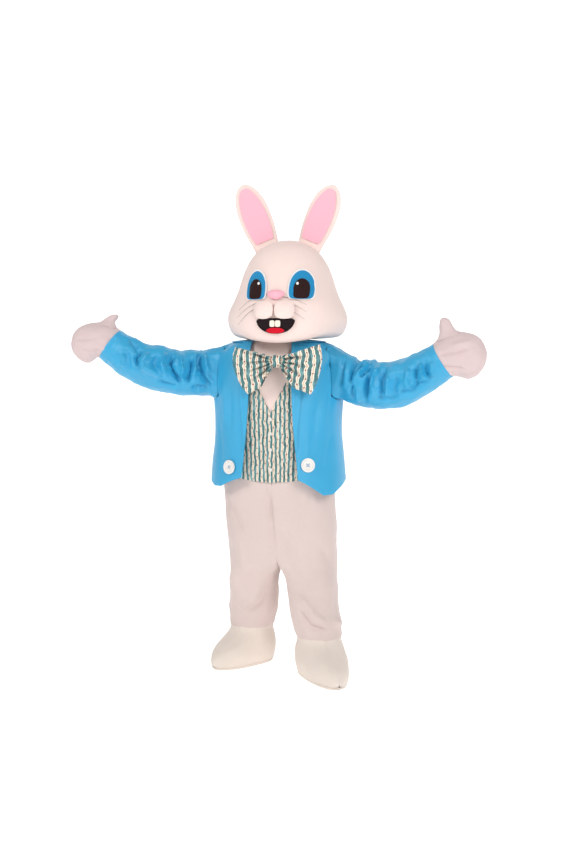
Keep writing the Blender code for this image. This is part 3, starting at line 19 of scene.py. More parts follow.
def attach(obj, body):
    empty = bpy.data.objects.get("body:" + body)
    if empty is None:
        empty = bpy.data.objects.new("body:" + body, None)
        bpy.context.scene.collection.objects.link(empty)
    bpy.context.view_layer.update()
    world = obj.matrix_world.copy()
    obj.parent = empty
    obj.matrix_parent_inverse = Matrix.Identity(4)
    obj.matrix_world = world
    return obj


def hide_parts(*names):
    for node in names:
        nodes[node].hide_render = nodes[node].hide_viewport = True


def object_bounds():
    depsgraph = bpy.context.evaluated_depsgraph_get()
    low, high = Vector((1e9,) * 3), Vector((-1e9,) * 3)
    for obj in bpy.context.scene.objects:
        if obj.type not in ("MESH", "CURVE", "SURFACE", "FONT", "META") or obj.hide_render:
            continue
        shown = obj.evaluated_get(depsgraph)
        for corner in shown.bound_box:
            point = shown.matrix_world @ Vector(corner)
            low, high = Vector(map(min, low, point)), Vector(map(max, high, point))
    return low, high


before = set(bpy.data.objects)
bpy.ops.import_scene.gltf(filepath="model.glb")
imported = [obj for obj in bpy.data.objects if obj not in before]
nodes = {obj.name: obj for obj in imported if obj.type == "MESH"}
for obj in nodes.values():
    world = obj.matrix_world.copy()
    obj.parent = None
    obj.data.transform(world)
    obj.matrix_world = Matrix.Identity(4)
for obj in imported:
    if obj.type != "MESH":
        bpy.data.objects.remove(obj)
cad_box = [list(corner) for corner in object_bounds()]
print(len(nodes), "solids, box", cad_box)

# %% [markdown]
# The camera stands a little to the wearer's left and looks slightly down, four metres away. Its lens is set
# for a frame that is taller than wide, so the sensor is fitted by its height.

# %% Camera at the photograph's angle
AIM = Vector((0.04, 0.0, -0.34))
AZIMUTH = math.radians(10.5)
ELEVATION = math.radians(4.15)
DISTANCE = 4.0
SENSOR_HEIGHT, LENS = 36.0, 40.2
away = Vector((
    math.sin(AZIMUTH) * math.cos(ELEVATION),
    -math.cos(AZIMUTH) * math.cos(ELEVATION),
    math.sin(ELEVATION),
))
look = (-away).to_track_quat("-Z", "Y").to_euler()
bpy.ops.object.camera_add(location=AIM + away * DISTANCE, rotation=look)
camera = bpy.context.object
camera.name = "photo_camera"
camera.data.sensor_fit = "VERTICAL"
camera.data.sensor_height = SENSOR_HEIGHT
camera.data.lens = LENS
bpy.context.scene.camera = camera
print("camera at", [round(part, 3) for part in camera.location])

# %% [markdown]
# Shader sums read best as Python. The class below wraps a node's output, so that `1 - mask` adds a Math
# node. Any other node comes from one method, which takes the node's type, its settings and its inputs.

# %% Shader values and finishes
class Value:
    """A number, colour or vector that a node gives, with Python's own signs for sums."""

    def __init__(self, finish, socket):
        self.finish = finish
        self.socket = socket

    def sum_with(self, operation, *others):
        return self.finish.node("ShaderNodeMath", {"operation": operation}, *others)

    def __add__(self, other):
        return self.sum_with("ADD", self, other)

    def __radd__(self, other):
        return self.sum_with("ADD", other, self)

    def __sub__(self, other):
        return self.sum_with("SUBTRACT", self, other)

    def __rsub__(self, other):
        return self.sum_with("SUBTRACT", other, self)

    def __mul__(self, other):
        return self.sum_with("MULTIPLY", self, other)

    def __rmul__(self, other):
        return self.sum_with("MULTIPLY", other, self)

    def __truediv__(self, other):
        return self.sum_with("DIVIDE", self, other)

    def wave(self):
        return self.sum_with("SINE", self)

    def part(self):
        return self.sum_with("FRACT", self)

    def whole(self):
        return self.sum_with("FLOOR", self)

    def below(self, limit):
        return self.sum_with("LESS_THAN", self, limit)


class Finish:
    """A material whose node tree is built by expressions."""

    def __init__(self, name, **constants):
        self.material = bpy.data.materials.new(name)
        self.material.use_nodes = True
        self.tree = self.material.node_tree
        self.shader = self.tree.nodes["Principled BSDF"]
        for socket, value in constants.items():
            self.shader.inputs[socket.replace("_", " ")].default_value = value

    def node(self, kind, settings=None, *values, output=0, **named):
        made = self.tree.nodes.new(kind)
        for setting, choice in (settings or {}).items():
            if setting == "stops":
                stops = made.color_ramp.elements
                stops.remove(stops[1])
                stops[0].position = choice[0][0]
                for place, color in choice[1:]:
                    stops.new(place)
                for stop, (place, color) in zip(stops, choice):
                    stop.color = (*color, 1.0)
            else:
                setattr(made, setting, choice)
        for place, value in list(enumerate(values)) + list(named.items()):
            socket = made.inputs[place if isinstance(place, int) else place.replace("_", " ")]
            if isinstance(value, Value):
                self.tree.links.new(value.socket, socket)
            else:
                socket.default_value = value
        return Value(self, made.outputs[output])

    def mix(self, share, first, second):
        made = self.tree.nodes.new("ShaderNodeMix")
        made.data_type = "RGBA"
        for socket, value in ((made.inputs[0], share), (made.inputs[6], first), (made.inputs[7], second)):
            if isinstance(value, Value):
                self.tree.links.new(value.socket, socket)
            elif isinstance(value, tuple):
                socket.default_value = (*value, 1.0)
            else:
                socket.default_value = value
        return Value(self, made.outputs[2])

    def place(self):
        return self.node("ShaderNodeTexCoord", output=3)

    def parts_of(self, source):
        """The three numbers of a place or a vector."""
        axes = self.tree.nodes.new("ShaderNodeSeparateXYZ")
        self.tree.links.new(source.socket, axes.inputs[0])
        return [Value(self, socket) for socket in axes.outputs]

    def cloth_map(self):
        """Metres across and along the cloth, from the piece's own UV map."""
        return self.parts_of(self.node("ShaderNodeUVMap", {"uv_map": "cloth"}))[:2]

    def stored(self, name):
        """A number that is kept on the piece's points."""
        return self.node("ShaderNodeAttribute", {"attribute_name": name}, output=2)

    def cloudy(self, scale, detail=2.0, stretch=(1.0, 1.0, 1.0), source=None):
        source = source or self.place()
        if stretch != (1.0, 1.0, 1.0):
            source = self.node("ShaderNodeMapping", None, source, Scale=stretch)
        return self.node("ShaderNodeTexNoise", None, Vector=source, Scale=scale, Detail=detail)

    def set(self, **links):
        for socket, value in links.items():
            self.tree.links.new(value.socket, self.shader.inputs[socket.replace("_", " ")])

    def bump(self, height, distance, strength=1.0):
        bump = self.node("ShaderNodeBump", None, Strength=strength, Distance=distance, Height=height)
        self.set(Normal=bump)


def shade(color, share):
    return tuple(part * share for part in color)


print("shader tools ready")

# %% [markdown]
# Short plush is a dense pile a few millimetres deep. It has no gloss of its own: light catches the fibre
# tips, so the edges look paler than the middle, which the sheen gives. The pile lies in small clumps, and
# a hand that strokes it leaves darker and lighter patches. Three sizes of noise give patches, clumps and
# fibres, and the last two also lift the bump.

# %% Plush finishes
def plush(name, color, pile=1.0, sheen=0.45):
    """Short pile cloth: patches where it was stroked, clumps and fibres."""
    finish = Finish(name, Roughness=0.9, Sheen_Weight=sheen, Sheen_Roughness=0.45,
                    Specular_IOR_Level=0.15)
    finish.shader.inputs["Sheen Tint"].default_value = (1.0, 0.95, 0.92, 1.0)
    patches = finish.cloudy(9.0, 3.0)
    clumps = finish.cloudy(170.0, 3.0)
    fibres = finish.cloudy(900.0, 2.0, (1.0, 1.0, 0.45))
    tone = finish.mix(patches, shade(color, 0.95), shade(color, 1.03))
    # The pile is made darker where the clumps are low, in the bump's hollows: painted shade.
    tone = finish.mix((1 - clumps) * 0.22, tone, shade(color, 0.76))
    finish.set(Base_Color=tone)
    finish.bump(clumps * 0.6 + fibres * 0.4, 0.0022 * pile, 0.75)
    return finish.material


PLUSH = plush("plush", (0.89, 0.715, 0.66))
# The trousers are the suit's own plush, made darker: painted shade.
SHADED_TROUSER_PLUSH = plush("trouser_plush", (0.69, 0.563, 0.53))
BOOT_PLUSH = plush("boot_plush", (0.77, 0.675, 0.60))
MITT_PLUSH = plush("mitt_plush", (0.665, 0.53, 0.525))
PINK_PLUSH = plush("pink_plush", (0.98, 0.47, 0.56), 0.6, 0.3)
print("plush finishes ready")

# %% [markdown]
# Felt has no pile, only a matted tangle. It is used for the eyes, the mouth, the tongue and the teeth.
# The pupils are an open mesh that the wearer looks through, so they get a fine square grid over holes in
# painted shade, dark as the hollow head behind, and each has a painted highlight: a white dot for a glint.

# %% Felt and mesh finishes
MESH_PITCH = 0.0016
# The glints are painted highlights: white dots on the pupils, at (x, z) in metres.
GLINT_RADIUS = 0.0048
EYE_GLINTS = ((-0.0378, 0.2555), (0.1165, 0.2535))


def felt(name, color, sheen=0.2):
    finish = Finish(name, Roughness=0.85, Sheen_Weight=sheen, Sheen_Roughness=0.5, Specular_IOR_Level=0.2)
    tangle = finish.cloudy(420.0, 4.0)
    finish.set(Base_Color=finish.mix(tangle, shade(color, 0.82), shade(color, 1.12)))
    finish.bump(tangle, 0.0006)
    return finish.material


def open_mesh(name, thread, hole, glints=()):
    """A fine grid of threads over holes in painted shade, and a painted highlight, a white dot, at each
    glint's (x, z).
    """
    finish = Finish(name, Roughness=0.60, Specular_IOR_Level=0.15)
    across, _, height = finish.parts_of(finish.place())
    rows = (across * (2 * math.pi / MESH_PITCH)).wave()
    columns = (height * (2 * math.pi / MESH_PITCH)).wave()
    grid = rows * columns * 0.5 + 0.5
    # The holes take the darker colour: painted shade from the hollow behind the mesh.
    tone = finish.mix(grid, hole, thread)
    # Each glint is a painted highlight, a white dot on the pupil.
    for x, z in glints:
        aside = across - x
        above = height - z
        dot = (aside * aside + above * above * 0.75).below(GLINT_RADIUS ** 2)
        tone = finish.mix(dot, tone, (0.95, 0.95, 0.95))
    finish.set(Base_Color=tone)
    finish.bump(grid, 0.0004)
    return finish.material


WHITE_FELT = felt("white_felt", (0.90, 0.88, 0.87))
BLUE_FELT = felt("blue_felt", (0.018, 0.25, 0.50), 0.08)
RED_FELT = felt("red_felt", (0.62, 0.006, 0.022), 0.02)
TOOTH_FELT = felt("tooth_felt", (0.90, 0.80, 0.66))
# Each mesh's second colour is painted shade in its holes; the pupils also get painted highlights.
DARK_MESH = open_mesh("dark_mesh", (0.040, 0.013, 0.011), (0.008, 0.003, 0.003), EYE_GLINTS)
MOUTH_MESH = open_mesh("mouth_mesh", (0.020, 0.008, 0.011), (0.005, 0.002, 0.003))
print("felt and mesh finishes ready")

# %% [markdown]
# The jacket is a smooth satin with a fine diagonal twill. Satin is brighter where the cloth turns towards
# the light, so its roughness stays under a half. The twill runs on the piece's own cloth map, because a
# pattern on plain coordinates would stretch round the sides. A row of stitches runs beside each open edge.
# It reads how far the edge is, which is stored on the piece's points.

# %% Jacket satin
TWILL_PITCH = 0.0014
STITCH_ROW, STITCH_HALF_WIDTH, STITCH_PITCH, STITCH_SHARE = 0.0075, 0.0006, 0.0040, 0.65


def satin(name, color):
    finish = Finish(name, Roughness=0.40, Sheen_Weight=0.12, Sheen_Roughness=0.35, Specular_IOR_Level=0.5)
    finish.shader.inputs["Sheen Tint"].default_value = (0.45, 0.78, 1.0, 1.0)
    across, along = finish.cloth_map()
    twill = ((across * 0.7 + along) * (2 * math.pi / TWILL_PITCH)).wave() * 0.5 + 0.5
    slubs = finish.cloudy(260.0, 2.0, (1.0, 1.0, 0.15))
    broad = finish.cloudy(5.0, 2.0)
    tone = finish.mix(broad, shade(color, 0.90), shade(color, 1.10))
    tone = finish.mix(slubs * 0.25, tone, shade(color, 0.80))
    from_row = finish.stored("from_edge") - STITCH_ROW
    on_row = (from_row * from_row).below(STITCH_HALF_WIDTH ** 2)
    stitch = on_row * ((across + along) / STITCH_PITCH).part().below(STITCH_SHARE)
    finish.set(Base_Color=finish.mix(stitch, tone, shade(color, 1.35)))
    finish.set(Roughness=0.30 + slubs * 0.12)
    finish.bump(twill * 0.7 + slubs * 0.3 + stitch * 2 - on_row, 0.00025, 0.7)
    return finish.material


JACKET_SATIN = satin("jacket_satin", (0.034, 0.370, 0.640))
print("jacket satin ready")

# %% [markdown]
# The waistcoat and the bow share a crinkled satin with woven stripes: teal, cream and tan, and small dark
# red dots. The weave is a plain one of its kind. Each repeat of the stripe is 25 mm wide. The stripes
# waver, because the cloth is crinkled. Broad patches of the teal are a painted highlight, and where the
# crinkles dip the teal is painted shade. The troughs of the bow's pleats get painted shade too: how deep
# each point lies is stored on the bow's points.

# %% Striped satin
# Darkest teal: the teal stripes' woven edge, and painted shade. Lightest teal: a painted highlight.
TEAL = (0.060, 0.200, 0.210)
TEAL_EDGE_AND_SHADE = (0.010, 0.030, 0.032)
TEAL_HIGHLIGHT = (0.200, 0.440, 0.470)
CREAM = (0.90, 0.84, 0.70)
TAN = (0.74, 0.50, 0.37)
DOT_RED = (0.28, 0.025, 0.022)
STRIPE_REPEAT, STRIPE_WAVER, TEAL_SHARE = 0.0245, 0.022, 0.50
DOT_REPEAT, DOT_RADIUS, DOT_COLUMN, DOT_STAGGER = 0.034, 0.0030, 0.755, 0.38


def striped(name):
    finish = Finish(name, Roughness=0.38, Specular_IOR_Level=0.5, Sheen_Weight=0.1)
    across, along = finish.cloth_map()
    spot = finish.node("ShaderNodeCombineXYZ", None, across, along, 0.0)
    waver = finish.cloudy(1.0, 2.0, (14.0, 30.0, 1.0), spot)
    crinkle = finish.cloudy(1.0, 3.0, (170.0, 38.0, 1.0), spot)
    shine = finish.cloudy(1.0, 2.0, (60.0, 16.0, 1.0), spot)
    count = (across + (waver - 0.5) * STRIPE_WAVER) / STRIPE_REPEAT
    step = count.part()
    bands = finish.node("ShaderNodeValToRGB", {"stops": (
        (0.00, TEAL_EDGE_AND_SHADE), (0.05, TEAL), (0.46, TEAL), (0.51, TEAL_EDGE_AND_SHADE), (0.54, CREAM), (0.66, CREAM),
        (0.69, TAN), (0.82, TAN), (0.85, CREAM), (0.97, CREAM),
    )}, step)
    teal_part = step.below(TEAL_SHARE)
    # Broad patches of the teal are made lighter: a painted highlight on the shiny satin.
    light = finish.node("ShaderNodeMapRange", None, shine, 0.46, 0.66, 0.0, 1.0)
    tone = finish.mix(teal_part * light * 0.9, bands, TEAL_HIGHLIGHT)
    # Where the crinkles dip, the teal is made darker: painted shade.
    dark = finish.node("ShaderNodeMapRange", None, crinkle, 0.52, 0.36, 0.0, 1.0)
    tone = finish.mix(teal_part * dark * 0.8, tone, TEAL_EDGE_AND_SHADE)
    off_center = (step - DOT_COLUMN) * STRIPE_REPEAT
    lift = along / DOT_REPEAT + count.whole() * DOT_STAGGER
    off_height = (lift.part() - 0.5) * DOT_REPEAT
    dots = (off_center * off_center + off_height * off_height).below(DOT_RADIUS ** 2)
    tone = finish.mix(dots, tone, DOT_RED)
    # The troughs of the bow's pleats get painted shade.
    finish.set(Base_Color=finish.mix(finish.stored("pleat"), tone, TEAL_EDGE_AND_SHADE))
    finish.set(Roughness=0.30 + crinkle * 0.2)
    finish.bump(crinkle, 0.0050, 1.0)
    return finish.material


STRIPED_SATIN = striped("striped_satin")
print("striped satin ready")

# %% [markdown]
# Buttons are moulded plastic: glossy, slightly warm white, with faint swirls from the mould. The thread is
# a dull cotton twist. The whiskers are stiff grey nylon.

# %% Plastic, thread and nylon
def plastic(name, color):
    finish = Finish(name, Roughness=0.22, Specular_IOR_Level=0.5, Coat_Roughness=0.1)
    swirl = finish.cloudy(60.0, 2.0)
    finish.set(Base_Color=finish.mix(swirl, shade(color, 0.95), color))
    finish.set(Coat_Weight=0.25 + swirl * 0.2)
    finish.bump(swirl, 0.0001, 0.5)
    return finish.material


def thread(name, color, gloss):
    finish = Finish(name, Roughness=0.6, Specular_IOR_Level=gloss)
    twist = finish.cloudy(1500.0, 1.0)
    finish.set(Base_Color=finish.mix(twist, shade(color, 0.8), color))
    finish.set(Roughness=0.45 + twist * 0.2)
    return finish.material


BUTTON_PLASTIC = plastic("button_plastic", (0.82, 0.79, 0.75))
BLUE_THREAD = thread("blue_thread", (0.020, 0.230, 0.560), 0.3)
NYLON = thread("nylon", (0.23, 0.20, 0.19), 0.5)
print("plastic, thread and nylon ready")

# %% [markdown]
# A garment's solid is a wall: an outer face, an inner face, and rims between them. To dress it, the copy
# keeps only its outer face. The rims are found by their short edges, which are exactly as long as the
# cloth is thick. What is left falls into two islands, and the larger is the outer one. Its triangles are
# joined back into quads, because a subdivided surface runs smoothly only over quads.

# %% Take a garment's outer face
def pick(piece):
    bpy.ops.object.select_all(action="DESELECT")
    piece.select_set(True)
    bpy.context.view_layer.objects.active = piece


def copy_of(node):
    """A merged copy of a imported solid, in edit mode, as its own piece."""
    piece = bpy.data.objects.new(f"{node}_cloth", nodes[node].data.copy())
    bpy.context.collection.objects.link(piece)
    piece.data.materials.clear()
    pick(piece)
    bpy.ops.object.mode_set(mode="EDIT")
    bpy.ops.mesh.select_all(action="SELECT")
    bpy.ops.mesh.remove_doubles(threshold=0.00003)
    bpy.ops.mesh.select_all(action="DESELECT")
    return piece


def islands(shape):
    """The faces of each connected part, the largest area first."""
    left = set(shape.faces)
    found = []
    while left:
        start = left.pop()
        part = [start]
        for face in part:
            for edge in face.edges:
                for other in edge.link_faces:
                    if other in left:
                        left.remove(other)
                        part.append(other)
        found.append(part)
    return sorted(found, key=lambda part: -sum(face.calc_area() for face in part))


def delete_faces(piece, faces):
    for face in faces:
        face.select_set(True)
    bmesh.update_edit_mesh(piece.data)
    bpy.ops.mesh.delete(type="FACE")


def join_quads(piece):
    """Joins pairs of triangles over their shared longest edge."""
    shape = bmesh.from_edit_mesh(piece.data)
    for edge in shape.edges:
        faces = edge.link_faces
        if len(faces) != 2 or any(len(vertex.link_edges) > 9 for vertex in edge.verts):
            continue
        length = edge.calc_length() * 1.0001
        if all(length >= max(other.calc_length() for other in face.edges) for face in faces):
            edge.select_set(True)
    bmesh.update_edit_mesh(piece.data)
    bpy.ops.mesh.dissolve_edges(use_verts=False)
    bpy.ops.mesh.select_all(action="DESELECT")


def crease(piece, kind, weight, chosen):
    """Keeps the chosen points ("vert") or edges ("edge") sharp when the piece is smoothed."""
    shape = bmesh.from_edit_mesh(piece.data)
    parts = shape.verts if kind == "vert" else shape.edges
    layers = parts.layers.float
    layer = layers.get(f"crease_{kind}") or layers.new(f"crease_{kind}")
    for part in parts:
        if chosen(part):
            part[layer] = weight
    bmesh.update_edit_mesh(piece.data)


def turns_over(limit):
    """A rule that chooses the corners of an open edge that turn by more degrees than the limit."""
    def chosen(vertex):
        arms = [edge.other_vert(vertex).co - vertex.co for edge in vertex.link_edges if edge.is_boundary]
        return len(arms) == 2 and math.degrees(arms[0].angle(-arms[1])) > limit
    return chosen


def sharp_edge(edge):
    return len(edge.link_faces) == 2 and edge.calc_face_angle() > math.radians(50)


def outer_face(node, wall, corners=None, weight=1.0, levels=3):
    """The smoothed outer face of a wall. The corners that a rule chooses stay sharp."""
    piece = copy_of(node)
    shape = bmesh.from_edit_mesh(piece.data)
    rims = [face for face in shape.faces
            if any(abs(edge.calc_length() - wall) < 0.02 * wall for edge in face.edges)]
    delete_faces(piece, rims)
    shape = bmesh.from_edit_mesh(piece.data)
    parts = islands(shape)
    delete_faces(piece, [face for part in parts[1:] for face in part])
    join_quads(piece)
    if corners:
        crease(piece, "vert", weight, corners)
    bpy.ops.object.mode_set(mode="OBJECT")
    smooth(piece, levels)
    return piece


def whole_solid(node, rim=0.0):
    """A whole stuffed solid, not smoothed yet. Its sharp edges stay so by a share."""
    piece = copy_of(node)
    join_quads(piece)
    if rim:
        crease(piece, "edge", rim, sharp_edge)
    bpy.ops.object.mode_set(mode="OBJECT")
    return piece


def apply(piece, kind, **settings):
    pick(piece)
    modifier = piece.modifiers.new(kind.title(), kind)
    for name, value in settings.items():
        setattr(modifier, name, value)
    bpy.ops.object.modifier_apply(modifier=modifier.name)


def smooth(piece, levels=3):
    apply(piece, "SUBSURF", levels=levels, render_levels=levels)


print("outer faces can be taken")

# %% [markdown]
# Creases are pressed one by one. A fold is a short line seen from the front, with a width and a depth, below
# zero for a trough. Points near the line move along the surface's own direction, and the line fades at
# its ends. The same list can press the back, seen from behind. The lists of folds are in millimetres.

# %% Press folds and seams
def read_points(piece):
    count = len(piece.data.vertices)
    points = np.empty(count * 3)
    piece.data.vertices.foreach_get("co", points)
    normals = np.empty(count * 3)
    piece.data.vertices.foreach_get("normal", normals)
    return points.reshape(-1, 3), normals.reshape(-1, 3)


def write_points(piece, points):
    piece.data.vertices.foreach_set("co", points.ravel())
    piece.data.update()


def soft_step(share):
    share = np.clip(share, 0.0, 1.0)
    return share * share * (3 - 2 * share)


def in_metres(numbers):
    """Numbers, or rows of them, turned from millimetres into metres."""
    if isinstance(numbers, tuple):
        return tuple(in_metres(part) for part in numbers)
    return numbers / 1000


def line_press(flat, path, width):
    """How much a fold along a path presses each point: 1 on it, 0 beside it and past its ends.

    A broad bell and a narrow one add up to a soft fold with a fairly sharp line.
    """
    best = np.zeros(len(flat))
    lengths = [math.dist(start, end) for start, end in zip(path, path[1:])]
    total = sum(lengths)
    before = 0.0
    for (start, end), length in zip(zip(path, path[1:]), lengths):
        start = np.array(start)
        line = np.array(end) - start
        share = np.clip((flat - start) @ line / length ** 2, 0.0, 1.0)
        gap = np.linalg.norm(flat - start - share[:, None] * line, axis=1)
        along = (before + share * length) / total
        ends = soft_step(along / 0.25) * soft_step((1 - along) / 0.25)
        shape = 0.55 * np.exp(-((gap / width) ** 2)) + 0.45 * np.exp(-((gap / (0.45 * width)) ** 2))
        best = np.maximum(best, shape * (0.15 + 0.85 * ends))
        before += length
    return best


def press(piece, folds, facing=-1.0, mirror=1.0, spare=0.0):
    """Folds are rows of depth, width and a path of (x, z), in metres. Facing -1 is the front, 1 the back.

    Where spare is given, folds fade out over that distance from the piece's open edges.
    """
    points, normals = read_points(piece)
    front = soft_step((normals[:, 1] * facing + 0.35) / 0.45)
    flat = points[:, [0, 2]] * [mirror, 1.0]
    moved = np.zeros(len(points))
    for depth, width, *path in folds:
        moved += depth * line_press(flat, path, width)
    if spare:
        moved *= soft_step(edge_gaps(piece, points) / spare)
    write_points(piece, points + normals * (moved * front)[:, None])


def press_both(piece, folds, spare=0.0):
    """The same folds on the front and, mirrored, on the back."""
    press(piece, folds, spare=spare)
    press(piece, folds, facing=1.0, mirror=-1.0, spare=spare)


def deepened(folds, times):
    """Folds in metres, and deeper than they are written."""
    return [(depth * times, width, *path) for depth, width, *path in in_metres(folds)]


def open_edges(piece):
    """The points on a piece's open edges."""
    shape = bmesh.new()
    shape.from_mesh(piece.data)
    found = [vertex.co.copy() for vertex in shape.verts if vertex.is_boundary]
    shape.free()
    return found


def edge_gaps(piece, points):
    """How far each point lies from the piece's nearest open edge."""
    edge = open_edges(piece)
    tree = KDTree(len(edge))
    for number, point in enumerate(edge):
        tree.insert(point, number)
    tree.balance()
    return np.array([tree.find(point)[2] for point in points])


def store(piece, name, values):
    """Keeps a number for each point, which the material reads."""
    piece.data.attributes.new(name, "FLOAT", "POINT").data.foreach_set("value", values)


def store_edges(piece):
    """Keeps each point's distance from the open edge, for the row of stitches."""
    points, _ = read_points(piece)
    store(piece, "from_edge", edge_gaps(piece, points))


def sink_edges(piece, depth, width, row=0.0, above=None):
    """Draws the surface in along the piece's edges, or along a row of stitches beside them."""
    points, normals = read_points(piece)
    sunk = depth * np.exp(-np.abs(edge_gaps(piece, points) - row) / width)
    if above is not None:
        sunk *= soft_step((points[:, 2] - above) / 0.03)
    write_points(piece, points - normals * sunk[:, None])


def rumple(piece, depth, size, seed, stretch=(1.0, 1.0, 1.0), spare=0.0):
    """Soft uneven swelling of the cloth, the same on every run. It fades near open edges over spare."""
    points, normals = read_points(piece)
    offset = Vector((seed * 3.7, seed * 1.9, seed * 5.3))
    scale = Vector(stretch) / size
    lift = np.array([noise.fractal(Vector(point) * scale + offset, 1.0, 2.0, 3) for point in points])
    if spare:
        lift *= soft_step(edge_gaps(piece, points) / spare)
    write_points(piece, points + normals * (lift * depth)[:, None])


def tuck(piece, depth, start, direction, reach=0.020, upper=1.0):
    """Draws the end of a piece in where it goes under another, past a start and in a direction.

    Its upper side moves by a share of that, so that a thumb there stays sewn on.
    """
    points, normals = read_points(piece)
    past = (points - np.array(start)) @ np.array(Vector(direction).normalized())
    share = 1 - (1 - upper) * soft_step(normals[:, 2] / 0.5)
    write_points(piece, points - normals * (depth * share * soft_step(past / reach))[:, None])


print("folds can be pressed")

# %% [markdown]
# Each piece also gets a cloth map: how many metres each point lies across and along the cloth. On a tube
# the first is the way round its axis, and the second the way along it. Faces that cross the place where
# the angle starts again are unwrapped, so that the weave isn't torn there.

# %% Map the cloth and finish a piece
def angles_round(points, axis_start, axis_end, front):
    """The angle round an axis and the distance along it for each point."""
    start, end = Vector(axis_start), Vector(axis_end)
    along = (end - start).normalized()
    ahead = Vector(front)
    ahead = (ahead - along * ahead.dot(along)).normalized()
    side = along.cross(ahead)
    arms = points - np.array(start)
    return np.arctan2(arms @ np.array(side), arms @ np.array(ahead)), arms @ np.array(along)


def loop_points(piece):
    """The number of the point that each face corner stands on."""
    corners = np.empty(len(piece.data.loops), dtype=np.int64)
    piece.data.loops.foreach_get("vertex_index", corners)
    return corners


def store_map(piece, across, along):
    flat = np.stack([across, along], axis=1)
    piece.data.uv_layers.new(name="cloth").data.foreach_set("uv", flat.ravel())


def map_round(piece, radius, axis_start, axis_end, front=(0.0, -1.0, 0.0)):
    """A cloth map round an axis. All corners of a face stay in one turn."""
    points, _ = read_points(piece)
    angles, along = angles_round(points, axis_start, axis_end, front)
    corners = loop_points(piece)
    starts = np.empty(len(piece.data.polygons), dtype=np.int64)
    totals = np.empty(len(piece.data.polygons), dtype=np.int64)
    piece.data.polygons.foreach_get("loop_start", starts)
    piece.data.polygons.foreach_get("loop_total", totals)
    first = np.repeat(angles[corners[starts]], totals)
    turn = first + (angles[corners] - first + math.pi) % (2 * math.pi) - math.pi
    store_map(piece, turn * radius, along[corners])


def map_by(piece, rule):
    """A cloth map from a rule that turns points into metres across and along."""
    points, _ = read_points(piece)
    across, along = rule(points)
    corners = loop_points(piece)
    store_map(piece, across[corners], along[corners])


made = {}


def finish_piece(piece, material, node=None, wall=0.0):
    """Gives the cloth its thickness and material, and puts it in place of its solid, if it has one."""
    if wall:
        apply(piece, "SOLIDIFY", thickness=wall, offset=-1.0, use_even_offset=False)
    pick(piece)
    bpy.ops.object.shade_smooth_by_angle(angle=math.radians(50))
    piece.data.materials.clear()
    piece.data.materials.append(material)
    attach(piece, "root")
    if node:
        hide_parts(node)
    made[node or piece.name] = piece


print("cloth can be mapped and finished")

# %% [markdown]
# The suit is one plush body from the neck to the trouser hems. The jacket hides most of it, so only the
# trousers get folds: the diagonal drag lines above the knees and the roll where the left hem sits on the
# boot. The two centre seams pull in slightly.

# %% Suit and trousers
PLUSH_WALL = 0.003
TROUSER_FOLDS = (
    (-10, 18, (-25, -985), (-60, -1045), (-125, -1100)),
    (7, 22, (-60, -980), (-100, -1035), (-165, -1075)),
    (-8, 22, (-4, -560), (3, -720), (20, -830)),
    (-6, 16, (-40, -545), (-12, -622), (-2, -700)),
    (10, 18, (110, -975), (185, -1065), (245, -1110)),
    (-10, 14, (105, -1030), (165, -1105), (240, -1132)),
    (8, 16, (245, -1085), (290, -1125), (300, -1150)),
    (-6, 26, (40, -700), (94, -843), (128, -935)),
    (-6, 24, (190, -780), (240, -880), (285, -950)),
    (-7, 22, (-240, -780), (-215, -880), (-200, -960)),
    (6, 26, (-160, -700), (-135, -820), (-125, -930)),
    (-5, 20, (-200, -600), (-160, -680), (-120, -740)),
)
TROUSER_DEPTH = 1.35
SEAM_SPARE = 0.012
for node in ("trouser_left_front", "trouser_left_back", "trouser_right_front", "trouser_right_back"):
    piece = outer_face(node, PLUSH_WALL)
    press_both(piece, deepened(TROUSER_FOLDS, TROUSER_DEPTH), SEAM_SPARE)
    rumple(piece, 0.0045, 0.11, 4 if "back" in node else 3, spare=0.03)
    sink_edges(piece, 0.0018, 0.006)
    # The trousers take the darker copy of the plush, which is painted shade.
    finish_piece(piece, SHADED_TROUSER_PLUSH, node, wall=PLUSH_WALL)
for node in ("suit_front", "suit_back", "neck"):
    piece = outer_face(node, PLUSH_WALL, levels=2)
    rumple(piece, 0.0010, 0.08, 6)
    finish_piece(piece, PLUSH, node, wall=PLUSH_WALL)
print("suit pieces:", list(made))

# %% [markdown]
# The boot covers are cream plush over a shoe. A seam runs over the toe, and stops just above the floor.
# The cover is stitched to a flat sole, which is made slightly smaller so that its rim stays under the
# cover. The top of each boot is drawn in, so that it goes up inside the trouser's hem.

# %% Boot covers
BOOT_TUCK, SEAM_FOOT = 0.009, -1.300
SOLE_SHARE, SOLE_ROUNDING = 0.965, 0.003
TUCK_LEVELS = {"left": -1.165, "right": -1.130}
for side in ("left", "right"):
    for half in ("inner", "outer"):
        node = f"boot_{side}_{half}"
        piece = outer_face(node, PLUSH_WALL)
        sink_edges(piece, 0.0045, 0.006, above=SEAM_FOOT)
        rumple(piece, 0.0020, 0.07, 9)
        tuck(piece, BOOT_TUCK, (0.0, 0.0, TUCK_LEVELS[side]), (0.0, 0.0, 1.0))
        finish_piece(piece, BOOT_PLUSH, node, wall=PLUSH_WALL)
    node = f"sole_{side}"
    piece = copy_of(node)
    bpy.ops.object.mode_set(mode="OBJECT")
    points, _ = read_points(piece)
    middle = points.mean(axis=0)
    write_points(piece, middle + (points - middle) * (SOLE_SHARE, SOLE_SHARE, 1.0))
    apply(piece, "BEVEL", width=SOLE_ROUNDING, segments=3, limit_method="ANGLE", angle_limit=math.radians(50))
    finish_piece(piece, BOOT_PLUSH, node)
print("boot covers ready")

# %% [markdown]
# The jacket's fronts and back hang smooth from the shoulders, with a few soft drag lines under the arms.
# The sleeves are a different matter: they are pushed up the raised arms, so the satin folds into deep
# troughs near the shoulder and at the elbow. Those folds were placed one by one from the photograph.

